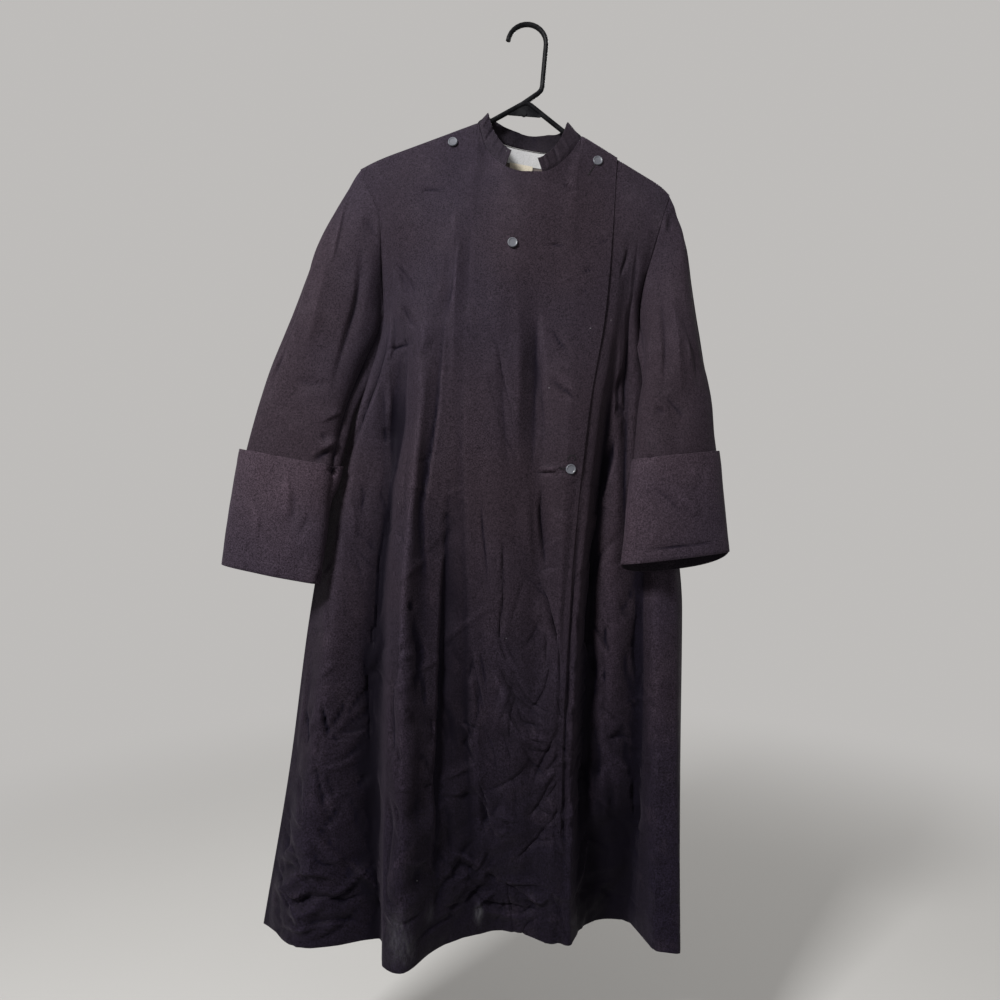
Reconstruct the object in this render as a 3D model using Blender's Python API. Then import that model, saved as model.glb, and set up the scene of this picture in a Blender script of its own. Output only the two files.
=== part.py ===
# A cassock with a wrap front, hanging on a tubular hanger.
# Frame: metres, +Z up, +X to the wearer's left, -Y to the front. The origin is the
# point at the top of the hanger's hook where it rests on its peg. Sizes below are in
# millimetres, and MM turns them into metres.

import math

import bmesh
import bpy
import numpy as np
from mathutils import Matrix, Vector

MM = 0.001

CLOTH_WALL = 1.6
LABEL_WALL = 1.0
SEAM_GAP = 0.3

TUBE_RADIUS = 4.0
SHOULDER_ROLL = 6.2
ROLL_FADE = 100.0
HOOK_RADIUS = 31.0
HOOK_CENTRE_Z = -27.0
WEB_WALL = 3.0
BOSS_RADIUS = 4.5
BOSS_LENGTH = 6.0
BOSS_SIDES = 16

BUTTON_DIAMETER = 16.0
BUTTON_WALL = 3.4
BUTTON_DISH = 0.9
BUTTON_SEAT = 0.35
# A button's turned edge from its back to its rim, as shares of its radius and its wall.
BUTTON_EDGE = ((0.80, 0.0), (0.97, 0.25), (1.0, 0.55), (0.93, 0.90), (0.84, 1.0), (0.74, 0.90))
BUTTON_DISH_SHARE = 0.62

# The facing covers this many rows of the back below the neck seam, and the label and
# tag lie at these columns and rows of it.
FACING_ROWS = 3
LABEL_COLUMNS = (2.75, 3.0, 4.0, 4.9)
LABEL_ROWS_AT = (1.0, 2.0, 2.45)
TAG_COLUMNS = (3.1, 4.0, 4.25)
TAG_ROWS_AT = (2.47, 2.84)

COLUMNS_PER_FOLD = 2
ROLL_ROWS = (0.0, 0.9, 3.4, 8.0)
ARMHOLE_ROWS = 7
SKIRT_ROWS = 12
UNDERARM_RIGHT = -465.0
UNDERARM_LEFT = -482.0
OVERLAP_HEM_RISE = 24.0

# Heights at which every line down the body has a place, between its top and its hem.
LEVELS = (-330.0, -470.0, -640.0, -950.0, -1200.0)

# One row for each fold line of the front, from the wearer's right side seam to the left.
# line: (x, y, z, roll) at the top edge | x at bust, underarm, waist, hip, knee, hem |
# y at the same places | height of the hem
FRONT_LINES = (
    ("side_right", (-270, 0, -232, 1), (-235, -233, -292, -352, -385, -428),
     (-20, 0, 0, 0, 0, 0), -1456),
    ("flank", (-248, 0, -220.5, 1), (-219, -217, -258, -305, -330, -345),
     (-26, -16, -21, -38, -50, -64), -1457),
    ("valley_right", (-226, 0, -211, 1), (-203, -203, -217, -243, -247, -234),
     (-28, -26, -21, -24, -30, -38), -1458),
    ("pipe_right", (-200, 0, -201.4, 1), (-187, -188, -195, -210, -214, -219),
     (-30, -34, -40, -66, -86, -98), -1463),
    ("pipe_front", (-174, 0, -191.8, 1), (-164, -163, -169, -190, -190, -190),
     (-31, -40, -54, -88, -104, -115), -1464),
    ("pipe_left", (-140, 0, -179.2, 1), (-134, -141, -152, -161, -150, -148),
     (-33, -43, -48, -58, -66, -66), -1463),
    ("neck_right", (-80, 0, -157, 1), (-98, -102, -109, -101, -95, -88),
     (-35, -46, -45, -36, -28, -24), -1462),
    ("neck_front_right", (-78.5, -7.2, -162, 0), (-91, -93, -97, -90, -86, -76),
     (-36, -48, -48, -39, -29, -19), -1462),
    ("slope_right", (-68, -13, -200, 0), (-79, -78, -81, -74, -72, -58),
     (-38, -50, -52, -42, -30, -12), -1461),
    ("end_right", (-36, -30, -240, 0), (-50, -52, -54, -48, -47, -34),
     (-42, -52, -55, -48, -38, -9), -1462),
    ("centre", (-6, -31, -249, 0), (-22, -22, -21, -16, -18, -13),
     (-43, -50, -52, -44, -40, -12), -1464),
    ("end_left", (24, -30, -249, 0), (6, 9, 13, 16, 8, 7),
     (-42, -44, -44, -36, -34, -18), -1466),
    ("slope_left", (62, -18, -222, 0), (44, 47, 42, 34, 26, 24),
     (-38, -42, -49, -44, -37, -26), -1467),
    ("neck_front_left", (86, -7.2, -186, 0), (71, 70, 57, 44, 34, 32),
     (-32, -41, -51, -48, -40, -30), -1468),
    ("neck_left", (89, 0, -181, 1), (79, 79, 64, 49, 39, 37),
     (-30, -40, -52, -50, -42, -32), -1468),
    ("closing", (145, 0, -215.2, 1), (136, 122, 93, 64, 53, 50),
     (-22, -34, -49, -50, -44, -32), -1469),
    ("strip", (160, 0, -224.3, 1), (153, 138, 110, 78, 67, 63),
     (-22, -31, -44, -46, -42, -35), -1470),
    ("valley_deep", (174, 0, -232.9, 1), (165, 152, 131, 103, 96, 92),
     (-22, -22, -17, -2, 10, 14), -1470),
    ("panel_left", (187, 0, -240.8, 1), (176, 160, 152, 135, 134, 132),
     (-22, -19, -20, -18, 0, 36), -1469),
    ("valley_left", (198, 0, -247.5, 1), (185, 167, 171, 180, 181, 165),
     (-22, -18, -17, -4, 10, 30), -1469),
    ("rise_left", (207, 0, -253, 1), (193, 171, 179, 192, 190, 184),
     (-21, -16, -15, -14, -10, -14), -1470),
    ("crest_left", (215, 0, -258.5, 1), (200, 175, 188, 207, 204, 200),
     (-20, -12, -13, -26, -34, -52), -1472),
    ("edge_left", (223, 0, -265.5, 1), (206, 179, 198, 237, 236, 233),
     (-19, -7, -8, -18, -30, -52), -1474),
    ("side_left", (231, 0, -274, 1), (212, 182, 207, 253, 251, 250),
     (-18, 0, 1, 4, 8, 10), -1476),
)

# The same for the back, whose side lines are the ends of the front's.
BACK_LINES = (
    ("side_right", (-270, 0, -232, 1), (-235, -233, -292, -352, -385, -428),
     (18, 0, 0, 0, 0, 0), -1456),
    ("blade_right", (-226, 0, -211, 1), (-212, -208, -244, -312, -348, -372),
     (24, 20, 23, 22, 24, 30), -1457),
    ("fold_right", (-140, 0, -179.2, 1), (-150, -160, -173, -215, -235, -250),
     (30, 30, 35, 36, 40, 42), -1459),
    ("neck_right", (-80, 0, -157, 1), (-88, -96, -105, -128, -138, -144),
     (31, 30, 30, 28, 26, 26), -1461),
    ("neck_back_right", (-78.5, 7.2, -161, 0), (-82, -88, -96, -116, -126, -130),
     (31, 30, 31, 31, 32, 33), -1461),
    ("nape_right", (-52, 20, -177, 0), (-56, -60, -64, -76, -84, -88),
     (32, 31, 33, 38, 42, 43), -1462),
    ("centre", (4, 29, -189, 0), (0, -2, -5, -12, -18, -22),
     (33, 30, 31, 34, 34, 34), -1464),
    ("nape_left", (60, 20, -198, 0), (58, 56, 52, 44, 40, 38),
     (32, 30, 29, 24, 22, 24), -1467),
    ("neck_back_left", (86.5, 7.2, -185, 0), (80, 76, 75, 72, 70, 70),
     (30, 29, 31, 34, 38, 38), -1468),
    ("neck_left", (89, 0, -181, 1), (88, 84, 84, 84, 82, 82),
     (30, 29, 32, 38, 42, 44), -1469),
    ("fold_left", (145, 0, -215.2, 1), (136, 122, 129, 146, 146, 146),
     (28, 27, 29, 30, 32, 46), -1471),
    ("blade_left", (198, 0, -247.5, 1), (184, 162, 175, 208, 208, 208),
     (22, 20, 22, 28, 32, 42), -1474),
    ("side_left", (231, 0, -274, 1), (212, 182, 207, 253, 251, 250),
     (16, 0, 1, 4, 8, 10), -1476),
)

# One row for each section down a sleeve: its outer edge, its inner edge, and how far
# it bulges to the front and to the back. The last two rows lie inside the cuff.
SLEEVE_RIGHT = (
    ("head", (-270, 0, -232), (-233, 0, -465), 24, 20),
    ("upper", (-327, -8, -336), (-242.5, -1, -498), 27, 21),
    ("elbow", (-376, -14, -466), (-264, -6, -548), 33, 23),
    ("fore", (-420, -20, -594), (-289, -25, -622), 28, 20),
    ("cuff_top", (-446, -26, -690), (-308, -40, -716), 22, 20),
    ("end", (-482, -30, -870), (-326, -48, -899), 21, 20),
)
SLEEVE_LEFT = (
    ("head", (231, 0, -274), (182, 0, -482), 22, 18),
    ("upper", (258, -8, -368), (186, -9, -508), 24, 18),
    ("elbow", (274, -20, -500), (184, -34, -560), 26, 16),
    ("fore", (287, -27, -594), (173, -42, -625), 26, 17),
    ("cuff_top", (297, -34, -692), (164, -49, -706), 28, 17),
    ("end", (315, -38, -849), (146, -51, -868), 25, 19),
)
SLEEVE_STATIONS = 15
CUFF_STATIONS = 5
SLEEVE_SQUARENESS = 0.85
SLEEVE_HEAD_SHARE = 0.22
# A cuff's upper edge stands off the sleeve by this much on its outer side, and by a share
# of it on its inner side. Its back edge hangs lower, from a share of the sleeve's length.
CUFF_STAND_RIGHT = 9.0
CUFF_STAND_LEFT = 3.0
CUFF_INNER_SHARE = 0.25
CUFF_BACK_DROP_LEFT = 20.0
BACK_DROP_START = 0.6

# How the collar's top edge stands above its seam, from the wearer's right end round
# the nape to the left end: the share of the seam's length, and the rise there.
COLLAR_RISE = (
    (0.00, (10, 0, 26)),
    (0.13, (16, 3, 23)),
    (0.24, (16, 1, 17)),
    (0.36, (10, -4, 25)),
    (0.50, (-2, -3, 24)),
    (0.63, (-12, -4, 30)),
    (0.74, (-22, 0, 26)),
    (0.87, (-14, 0, 25)),
    (1.00, (-8, 0, 23)),
)
COLLAR_ROWS = 3
COLLAR_GAP = 0.6
NECK_MIDDLE = (4.0, 0.0, -180.0)

# Middle of each button on the overlap, seen square to the front.
BUTTONS = (
    ("button_shoulder_right", -120.0, -193.0),
    ("button_shoulder_left", 114.0, -223.0),
    ("button_chest", -24.3, -367.0),
    ("button_waist", 66.0, -719.0),
)
BUTTON_SIDES = 24
# A button's seat is looked for at this many places in each square of the sheet.
SEAT_PLACES = (12, 16)

# Corners of the hanger's middle line in its upright plane (x, z) and the bend there.
# The loop runs from the apex along the right arm, the bar and the left arm.
HANGER_LOOP = (
    ((-1, -122), 14),
    ((-84, -167.7), 60),
    ((-238, -222.2), 11),
    ((-222, -248), 11),
    ((192, -291), 11),
    ((215, -266.2), 11),
    ((86, -191.7), 60),
)
# The hook's stem, from inside the apex up to where its round top begins.
HANGER_STEM = (
    ((-8, -126), 0),
    ((24, -104), 16),
    ((31, -40), 30),
)
HOOK_START_ANGLE = -4.0
HOOK_END_ANGLE = 172.0
HOOK_POINTS = 15
BEND_STEP = 22.0
HANGER_WEB = ((-34, -138), (-1, -121), (28, -142), (21, -147), (-30, -143))
HANGER_BOSS = (-5, -141)
TUBE_SIDES = 12

# Edges sharper than this many degrees stay sharp.
CLOTH_SHARP = 50.0
PLASTIC_SHARP = 40.0

# Name, colour, roughness and metallic value of each material.
FINISHES = {
    "cassock_cloth": ((0.030, 0.027, 0.030), 0.75, 0.0),
    "facing_cloth": ((0.090, 0.078, 0.075), 0.80, 0.0),
    "label_cloth": ((0.720, 0.700, 0.680), 0.70, 0.0),
    "tag_cloth": ((0.620, 0.560, 0.430), 0.70, 0.0),
    "button_plastic": ((0.200, 0.220, 0.250), 0.35, 0.0),
    "hanger_plastic": ((0.012, 0.012, 0.013), 0.30, 0.0),
}


def clear_scene():
    for item in list(bpy.data.objects):
        bpy.data.objects.remove(item, do_unlink=True)


def make_material(name):
    colour, roughness, metallic = FINISHES[name]
    material = bpy.data.materials.new(name)
    material.use_nodes = True
    shader = material.node_tree.nodes["Principled BSDF"]
    shader.inputs["Base Color"].default_value = (*colour, 1.0)
    shader.inputs["Roughness"].default_value = roughness
    shader.inputs["Metallic"].default_value = metallic
    material.diffuse_color = (*colour, 1.0)
    return material


def through(knots, values, at):
    """A smooth curve through values at the knots that never overshoots them."""
    knots = np.asarray(knots, float)
    values = np.asarray(values, float)
    at = np.asarray(at, float)
    shape = (-1,) + (1,) * (values.ndim - 1)
    step = np.diff(knots).reshape(shape)
    slope = np.diff(values, axis=0) / step
    both = slope[:-1] * slope[1:]
    total = np.where(both > 0, slope[:-1] + slope[1:], 1.0)
    tangent = np.concatenate(
        [slope[:1], np.where(both > 0, 2 * both / total, 0.0), slope[-1:]])
    index = np.clip(np.searchsorted(knots, at, side="right") - 1, 0, len(knots) - 2)
    width = step[index]
    t = (at.reshape(shape) - knots[index].reshape(shape)) / width
    left = (1 + 2 * t) * (1 - t) ** 2 * values[index] + t * (1 - t) ** 2 * width * tangent[index]
    right = t * t * (3 - 2 * t) * values[index + 1] - t * t * (1 - t) * width * tangent[index + 1]
    return left + right


def smooth_step(value):
    value = np.clip(value, 0.0, 1.0)
    return value * value * (3 - 2 * value)


def unit(vectors):
    length = np.linalg.norm(vectors, axis=-1, keepdims=True)
    return vectors / np.maximum(length, 1e-9)


def row_heights(top, split, hem):
    """Heights down one line: close rows over the shoulder, then armhole, then skirt."""
    start = top - ROLL_ROWS[-1]
    roll = [top - depth for depth in ROLL_ROWS]
    armhole = np.linspace(start, split, ARMHOLE_ROWS + 1)[1:]
    skirt = np.linspace(split, hem, SKIRT_ROWS + 1)[1:]
    return np.concatenate([roll, armhole, skirt])


def body_sheet(lines, side):
    """Outer skin of the front (side -1) or the back (side 1), and its fold positions."""
    count = len(lines)
    fold = np.linspace(0, count - 1, (count - 1) * COLUMNS_PER_FOLD + 1)
    places = np.arange(count)
    top = through(places, [row[1] for row in lines], fold)
    across = through(places, [row[2] for row in lines], fold)
    depth = through(places, [row[3] for row in lines], fold)
    hem = through(places, [row[4] for row in lines], fold)
    split = np.interp(across[:, 1], [across[0, 1], across[-1, 1]], [UNDERARM_RIGHT, UNDERARM_LEFT])
    sheet = []
    for column in range(len(fold)):
        x_top, y_top, z_top, roll = top[column]
        z = row_heights(z_top, split[column], hem[column])
        knots = -np.array([z_top, *LEVELS, hem[column]])
        x = through(knots, [x_top, *across[column]], -z)
        y = through(knots, [y_top, *depth[column]], -z)
        turn = np.clip((z_top - z) / SHOULDER_ROLL, 0.0, 1.0)
        fade = 1 - smooth_step((z_top - z) / ROLL_FADE)
        y = y + side * roll * SHOULDER_ROLL * np.sqrt(1 - (1 - turn) ** 2) * fade
        sheet.append(np.stack([x, y, z], axis=1))
    return np.array(sheet), top[:, 3]


def sheet_normals(sheet, closed=False):
    """Unit normals of a grid, along the cross product of its two directions."""
    if closed:
        wrapped = np.concatenate([sheet[-1:], sheet, sheet[:1]])
        across = (wrapped[2:] - wrapped[:-2]) / 2
    else:
        across = np.gradient(sheet, axis=0)
    down = np.gradient(sheet, axis=1)
    return unit(np.cross(across, down))


def body_normals(sheet, side, roll, seams):
    """Outward normals, turned at the seams so that neighbours end face to face."""
    normals = sheet_normals(sheet) * side
    weight = roll[:, None]
    normals[:, 0] = unit(normals[:, 0] * (1 - weight) + np.array([0.0, 0.0, 1.0]) * weight)
    last_armhole_row = len(ROLL_ROWS) + ARMHOLE_ROWS - 1
    for column, outward in seams:
        edge = normals[column, :last_armhole_row]
        edge[:, 0] = np.maximum(edge[:, 0] * outward, 0.0) * outward
        normals[column, :last_armhole_row] = unit(edge)
        normals[column, last_armhole_row:] = (outward, 0.0, 0.0)
    return normals


def add_object(name, mesh_builder, material, sharp_angle):
    mesh = bpy.data.meshes.new(name)
    mesh_builder.normal_update()
    mesh_builder.to_mesh(mesh)
    mesh_builder.free()
    mesh.materials.append(material)
    mesh.shade_smooth()
    mesh.set_sharp_from_angle(angle=math.radians(sharp_angle))
    item = bpy.data.objects.new(name, mesh)
    bpy.context.scene.collection.objects.link(item)
    return item


def add_wall(name, outer, inner, material, closed=False):
    """A closed wall between two grids; a closed one is a tube with two open ends."""
    columns, rows = outer.shape[:2]
    builder = bmesh.new()
    skins = []
    for skin in (outer, inner):
        skins.append([[builder.verts.new(point * MM) for point in line] for line in skin])
    out, inn = skins
    spans = columns if closed else columns - 1
    for i in range(spans):
        j = (i + 1) % columns
        for k in range(rows - 1):
            builder.faces.new((out[i][k], out[j][k], out[j][k + 1]))
            builder.faces.new((out[i][k], out[j][k + 1], out[i][k + 1]))
            builder.faces.new((inn[j][k], inn[i][k], inn[j][k + 1]))
            builder.faces.new((inn[j][k + 1], inn[i][k], inn[i][k + 1]))
        for k, first, second in ((0, i, j), (rows - 1, j, i)):
            builder.faces.new((out[second][k], out[first][k], inn[first][k]))
            builder.faces.new((out[second][k], inn[first][k], inn[second][k]))
    if not closed:
        for k in range(rows - 1):
            for i, upper, lower in ((0, k, k + 1), (columns - 1, k + 1, k)):
                builder.faces.new((out[i][upper], out[i][lower], inn[i][lower]))
                builder.faces.new((out[i][upper], inn[i][lower], inn[i][upper]))
    bmesh.ops.recalc_face_normals(builder, faces=builder.faces)
    return add_object(name, builder, material, CLOTH_SHARP)


def hem_cut(sheet, share):
    """Shortens the last row of a sheet by a share of its last step."""
    cut = sheet.copy()
    share = share[:, None]
    cut[:, -1] = sheet[:, -1] * (1 - share) + sheet[:, -2] * share
    return cut


def column_of(name, lines=FRONT_LINES):
    names = [row[0] for row in lines]
    return names.index(name) * COLUMNS_PER_FOLD


def make_fronts(cloth):
    """The overlap and the underlap: one surface, with the overlap lifted off it."""
    sheet, roll = body_sheet(FRONT_LINES, -1)
    sheet[:, 0, 1] -= SEAM_GAP / 2 * (roll > 0.5)
    sheet[0, :, 1] -= SEAM_GAP / 2
    sheet[-1, :, 1] -= SEAM_GAP / 2
    normals = body_normals(sheet, -1, roll, ((0, -1.0), (-1, 1.0)))
    last = column_of("closing")
    first = column_of("centre")
    lift_from = column_of("slope_right")
    columns = np.arange(last + 1)
    lift = smooth_step((columns - lift_from) / (first - 1 - lift_from))
    lift = lift[:, None, None] * (CLOTH_WALL + SEAM_GAP)
    over = sheet[:last + 1]
    over_normals = normals[:last + 1]
    step = sheet[last, -2, 2] - sheet[last, -1, 2]
    rise = smooth_step((columns - column_of("end_right")) / (last - column_of("end_right")))
    share = rise * OVERLAP_HEM_RISE / step
    outer = hem_cut(over + over_normals * lift, share)
    inner = hem_cut(over + over_normals * (lift - CLOTH_WALL), share)
    add_wall("front_right", outer, inner, cloth)
    under = sheet[first:]
    add_wall("front_left", under, under - normals[first:] * CLOTH_WALL, cloth)
    return {"sheet": sheet, "outer": outer, "normals": over_normals}


def make_back(cloth):
    sheet, roll = body_sheet(BACK_LINES, 1)
    sheet[:, 0, 1] += SEAM_GAP / 2 * (roll > 0.5)
    sheet[0, :, 1] += SEAM_GAP / 2
    sheet[-1, :, 1] += SEAM_GAP / 2
    normals = body_normals(sheet, 1, roll, ((0, -1.0), (-1, 1.0)))
    inner = sheet - normals * CLOTH_WALL
    add_wall("back", sheet, inner, cloth)
    return {"sheet": sheet, "inner": inner, "normals": normals}


def section(outer_edge, inner_edge, front, back, angle, drop):
    """One loop round a sleeve: a flattened ring between its outer and inner edges."""
    middle = (outer_edge + inner_edge) / 2
    half = (outer_edge - inner_edge) / 2
    turn = np.cos(angle)[:, None]
    side = np.sin(angle)
    bulge = np.sign(side) * np.abs(side) ** SLEEVE_SQUARENESS
    loop = middle + half * np.sign(turn) * np.abs(turn) ** SLEEVE_SQUARENESS
    loop[:, 1] -= np.where(bulge > 0, bulge * front, bulge * back)
    loop[:, 2] += np.minimum(bulge, 0.0) * drop
    return loop


def armhole_ring(front_edge, back_edge, outward):
    """The armhole's points, from the shoulder down the front and up the back."""
    rows = len(ROLL_ROWS) + ARMHOLE_ROWS
    top = (front_edge[0] + back_edge[0]) / 2
    bottom = (front_edge[rows - 1] + back_edge[rows - 1]) / 2
    ring = np.concatenate([[top], front_edge[1:rows - 1], [bottom], back_edge[rows - 2:0:-1]])
    ring[:, 0] += outward * SEAM_GAP
    return ring


def ring_angles(ring):
    """Angle of each ring point, by its distance round from the shoulder."""
    half = len(ring) // 2
    loop = np.concatenate([ring, ring[:1]])
    step = np.linalg.norm(np.diff(loop, axis=0), axis=1)
    front = np.concatenate([[0.0], np.cumsum(step[:half])])
    back = np.concatenate([[0.0], np.cumsum(step[half:])])
    return np.concatenate([front / front[-1] * math.pi, math.pi + back[1:-1] / back[-1] * math.pi])


def make_sleeve(side, table, ring, outward, stand, back_drop, cloth):
    """A sleeve from its armhole to its end, and the turned-up cuff round its end."""
    count = len(table)
    places = np.linspace(0, 1, count)
    stations = np.concatenate([
        np.linspace(0, places[-2], SLEEVE_STATIONS - CUFF_STATIONS + 1),
        np.linspace(places[-2], 1, CUFF_STATIONS)[1:]])
    outer_edge = through(places, [row[1] for row in table], stations)
    inner_edge = through(places, [row[2] for row in table], stations)
    front = through(places, [row[3] for row in table], stations)
    back = through(places, [row[4] for row in table], stations)
    angle = ring_angles(ring)
    move = ring - section(outer_edge[0], inner_edge[0], front[0], back[0], angle, 0.0)
    loops = []
    for k, place in enumerate(stations):
        drop = back_drop * smooth_step((place - BACK_DROP_START) / (1 - BACK_DROP_START))
        loop = section(outer_edge[k], inner_edge[k], front[k], back[k], angle, drop)
        share = smooth_step(place / SLEEVE_HEAD_SHARE)
        loops.append(loop + move * (1 - share))
    tube = np.array(loops).transpose(1, 0, 2)
    normals = sheet_normals(tube, closed=True)
    centre = tube.mean(axis=0, keepdims=True)
    if np.sum((tube - centre) * normals) < 0:
        normals = -normals
    head = normals[:, 0]
    head[:, 0] = np.minimum(head[:, 0] * outward, 0.0) * outward
    normals[:, 0] = unit(head)
    add_wall("sleeve_" + side, tube, tube - normals * CLOTH_WALL, cloth, closed=True)
    lower = tube[:, -CUFF_STATIONS:]
    lower_normals = normals[:, -CUFF_STATIONS:]
    height = np.linspace(1, 0, CUFF_STATIONS)[None, :, None]
    facing = (0.5 + 0.5 * np.cos(angle))[:, None, None]
    reach = CUFF_INNER_SHARE + (1 - CUFF_INNER_SHARE) * facing
    inner_lift = SEAM_GAP + stand * smooth_step(height) ** 0.5 * reach
    inner = lower + lower_normals * inner_lift
    outer = lower + lower_normals * (inner_lift + CLOTH_WALL)
    add_wall("cuff_" + side, outer, inner, cloth, closed=True)


def make_sleeves(front, back, cloth):
    ring = armhole_ring(front["sheet"][0], back["sheet"][0], -1.0)
    make_sleeve("right", SLEEVE_RIGHT, ring, -1.0, CUFF_STAND_RIGHT, 0.0, cloth)
    ring = armhole_ring(front["sheet"][-1], back["sheet"][-1], 1.0)
    make_sleeve("left", SLEEVE_LEFT, ring, 1.0, CUFF_STAND_LEFT, CUFF_BACK_DROP_LEFT, cloth)


def make_collar(front, back, cloth):
    """A band that stands on the neck seam, open between its two front ends."""
    right = front["sheet"][column_of("neck_right"):column_of("end_right") + 1, 0][::-1]
    left = front["sheet"][column_of("end_left"):column_of("neck_left") + 1, 0][::-1]
    nape = back["sheet"][column_of("neck_right", BACK_LINES):column_of("neck_left", BACK_LINES) + 1, 0]
    seam = np.concatenate([right[:-1], [(right[-1] + nape[0]) / 2], nape[1:-1],
                           [(nape[-1] + left[0]) / 2], left[1:]])
    step = np.linalg.norm(np.diff(seam, axis=0), axis=1)
    share = np.concatenate([[0.0], np.cumsum(step)]) / step.sum()
    rise = through([row[0] for row in COLLAR_RISE], [row[1] for row in COLLAR_RISE], share)
    start = COLLAR_GAP / np.linalg.norm(rise, axis=1, keepdims=True)
    band = np.stack([seam + rise * (start + (1 - start) * k / COLLAR_ROWS)
                     for k in range(COLLAR_ROWS + 1)], axis=1)
    normals = sheet_normals(band)
    if np.sum((band - np.array(NECK_MIDDLE)) * normals) < 0:
        normals = -normals
    normals[:, 0, 2] = 0.0
    normals[:, 0] = unit(normals[:, 0])
    add_wall("collar", band, band - normals * CLOTH_WALL, cloth)


def make_neck_pieces(back, facing_cloth, label_cloth, tag_cloth):
    """The facing inside the nape, with a label and a size tag lying on it."""
    first = column_of("neck_back_right", BACK_LINES)
    last = column_of("neck_back_left", BACK_LINES)
    rows = len(ROLL_ROWS) + FACING_ROWS - 1
    skin = back["inner"][first:last + 1, 1:rows]
    normals = back["normals"][first:last + 1, 1:rows]
    near = skin - normals * SEAM_GAP
    far = near - normals * LABEL_WALL
    add_wall("neck_facing", near, far, facing_cloth)
    for name, columns, rows_at, material in (
            ("neck_label", LABEL_COLUMNS, LABEL_ROWS_AT, label_cloth),
            ("size_tag", TAG_COLUMNS, TAG_ROWS_AT, tag_cloth)):
        base = pick(far, columns, rows_at)
        away = pick(normals, columns, rows_at)
        add_wall(name, base - away * SEAM_GAP, base - away * (SEAM_GAP + LABEL_WALL), material)


def pick(grid, columns, rows):
    """Points of a grid at fractional columns and rows."""
    for axis, places in ((0, columns), (1, rows)):
        at = np.asarray(places, float)
        low = np.minimum(at.astype(int), grid.shape[axis] - 2)
        shape = [1, 1, 1]
        shape[axis] = -1
        share = (at - low).reshape(shape)
        grid = np.take(grid, low, axis) * (1 - share) + np.take(grid, low + 1, axis) * share
    return grid


def spot_on(grid, normals, x, z):
    """The point of a sheet, and its normal, that lies at x and z."""
    last_column, last_row = grid.shape[0] - 1, grid.shape[1] - 1
    columns = np.linspace(0, last_column, last_column * SEAT_PLACES[0] + 1)
    rows = np.linspace(0, last_row, last_row * SEAT_PLACES[1] + 1)
    fine = pick(grid, columns, rows)
    away = pick(normals, columns, rows)
    distance = np.hypot(fine[..., 0] - x, fine[..., 2] - z)
    place = np.unravel_index(np.argmin(distance), distance.shape)
    return fine[place], unit(away[place])


def make_button(name, point, normal, material):
    """A turned disc with a raised rim round a shallow dish, its back to the cloth."""
    radius = BUTTON_DIAMETER / 2
    profile = [(radius * reach, BUTTON_WALL * height) for reach, height in BUTTON_EDGE]
    profile.append((radius * BUTTON_DISH_SHARE, BUTTON_WALL - BUTTON_DISH))
    builder = bmesh.new()
    rings = []
    for reach, height in profile:
        ring = []
        for k in range(BUTTON_SIDES):
            turn = 2 * math.pi * k / BUTTON_SIDES
            place = (reach * math.cos(turn), reach * math.sin(turn), height)
            ring.append(builder.verts.new([value * MM for value in place]))
        rings.append(ring)
    for lower, upper in zip(rings[:-1], rings[1:]):
        for k in range(BUTTON_SIDES):
            after = (k + 1) % BUTTON_SIDES
            builder.faces.new((lower[k], lower[after], upper[after], upper[k]))
    builder.faces.new(rings[0][::-1])
    builder.faces.new(rings[-1])
    button = add_object(name, builder, material, PLASTIC_SHARP)
    button.rotation_mode = "QUATERNION"
    button.rotation_quaternion = Vector(normal).to_track_quat("Z", "Y")
    button.location = Vector((point + normal * BUTTON_SEAT) * MM)


def make_buttons(front, plastic):
    for name, x, z in BUTTONS:
        point, normal = spot_on(front["outer"], front["normals"], x, z)
        make_button(name, point, normal, plastic)


def bend(corners, closed):
    """Points along straight runs with a round bend at each corner that has a radius."""
    points = []
    count = len(corners)
    for k, (corner, radius) in enumerate(corners):
        corner = np.array(corner, float)
        if radius == 0 or (not closed and k in (0, count - 1)):
            points.append(corner)
            continue
        before = unit(np.array(corners[k - 1][0], float) - corner)
        after = unit(np.array(corners[(k + 1) % count][0], float) - corner)
        half = math.acos(float(np.clip(before @ after, -1, 1))) / 2
        middle = corner + unit(before + after) * radius / math.sin(half)
        start = corner + before * radius / math.tan(half) - middle
        finish = corner + after * radius / math.tan(half) - middle
        steps = max(2, round((math.pi - 2 * half) / math.radians(BEND_STEP)))
        for share in np.linspace(0, 1, steps + 1):
            points.append(middle + unit(start * (1 - share) + finish * share) * radius)
    return np.array(points)


def sweep(path, closed, name, material):
    """A round tube along a path of (x, z) points in the hanger's plane."""
    builder = bmesh.new()
    if closed:
        along = np.roll(path, -1, axis=0) - np.roll(path, 1, axis=0)
    else:
        along = np.gradient(path, axis=0)
    along = unit(along)
    rings = []
    for point, direction in zip(path, along):
        ring = []
        for k in range(TUBE_SIDES):
            turn = 2 * math.pi * k / TUBE_SIDES
            out = TUBE_RADIUS * math.cos(turn)
            place = (point[0] - direction[1] * out, TUBE_RADIUS * math.sin(turn),
                     point[1] + direction[0] * out)
            ring.append(builder.verts.new([value * MM for value in place]))
        rings.append(ring)
    pairs = list(zip(rings[:-1], rings[1:]))
    if closed:
        pairs.append((rings[-1], rings[0]))
    else:
        builder.faces.new(rings[0])
        builder.faces.new(rings[-1][::-1])
    for lower, upper in pairs:
        for k in range(TUBE_SIDES):
            after = (k + 1) % TUBE_SIDES
            builder.faces.new((lower[k], upper[k], upper[after], lower[after]))
    bmesh.ops.recalc_face_normals(builder, faces=builder.faces)
    return add_object(name, builder, material, PLASTIC_SHARP)


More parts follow.
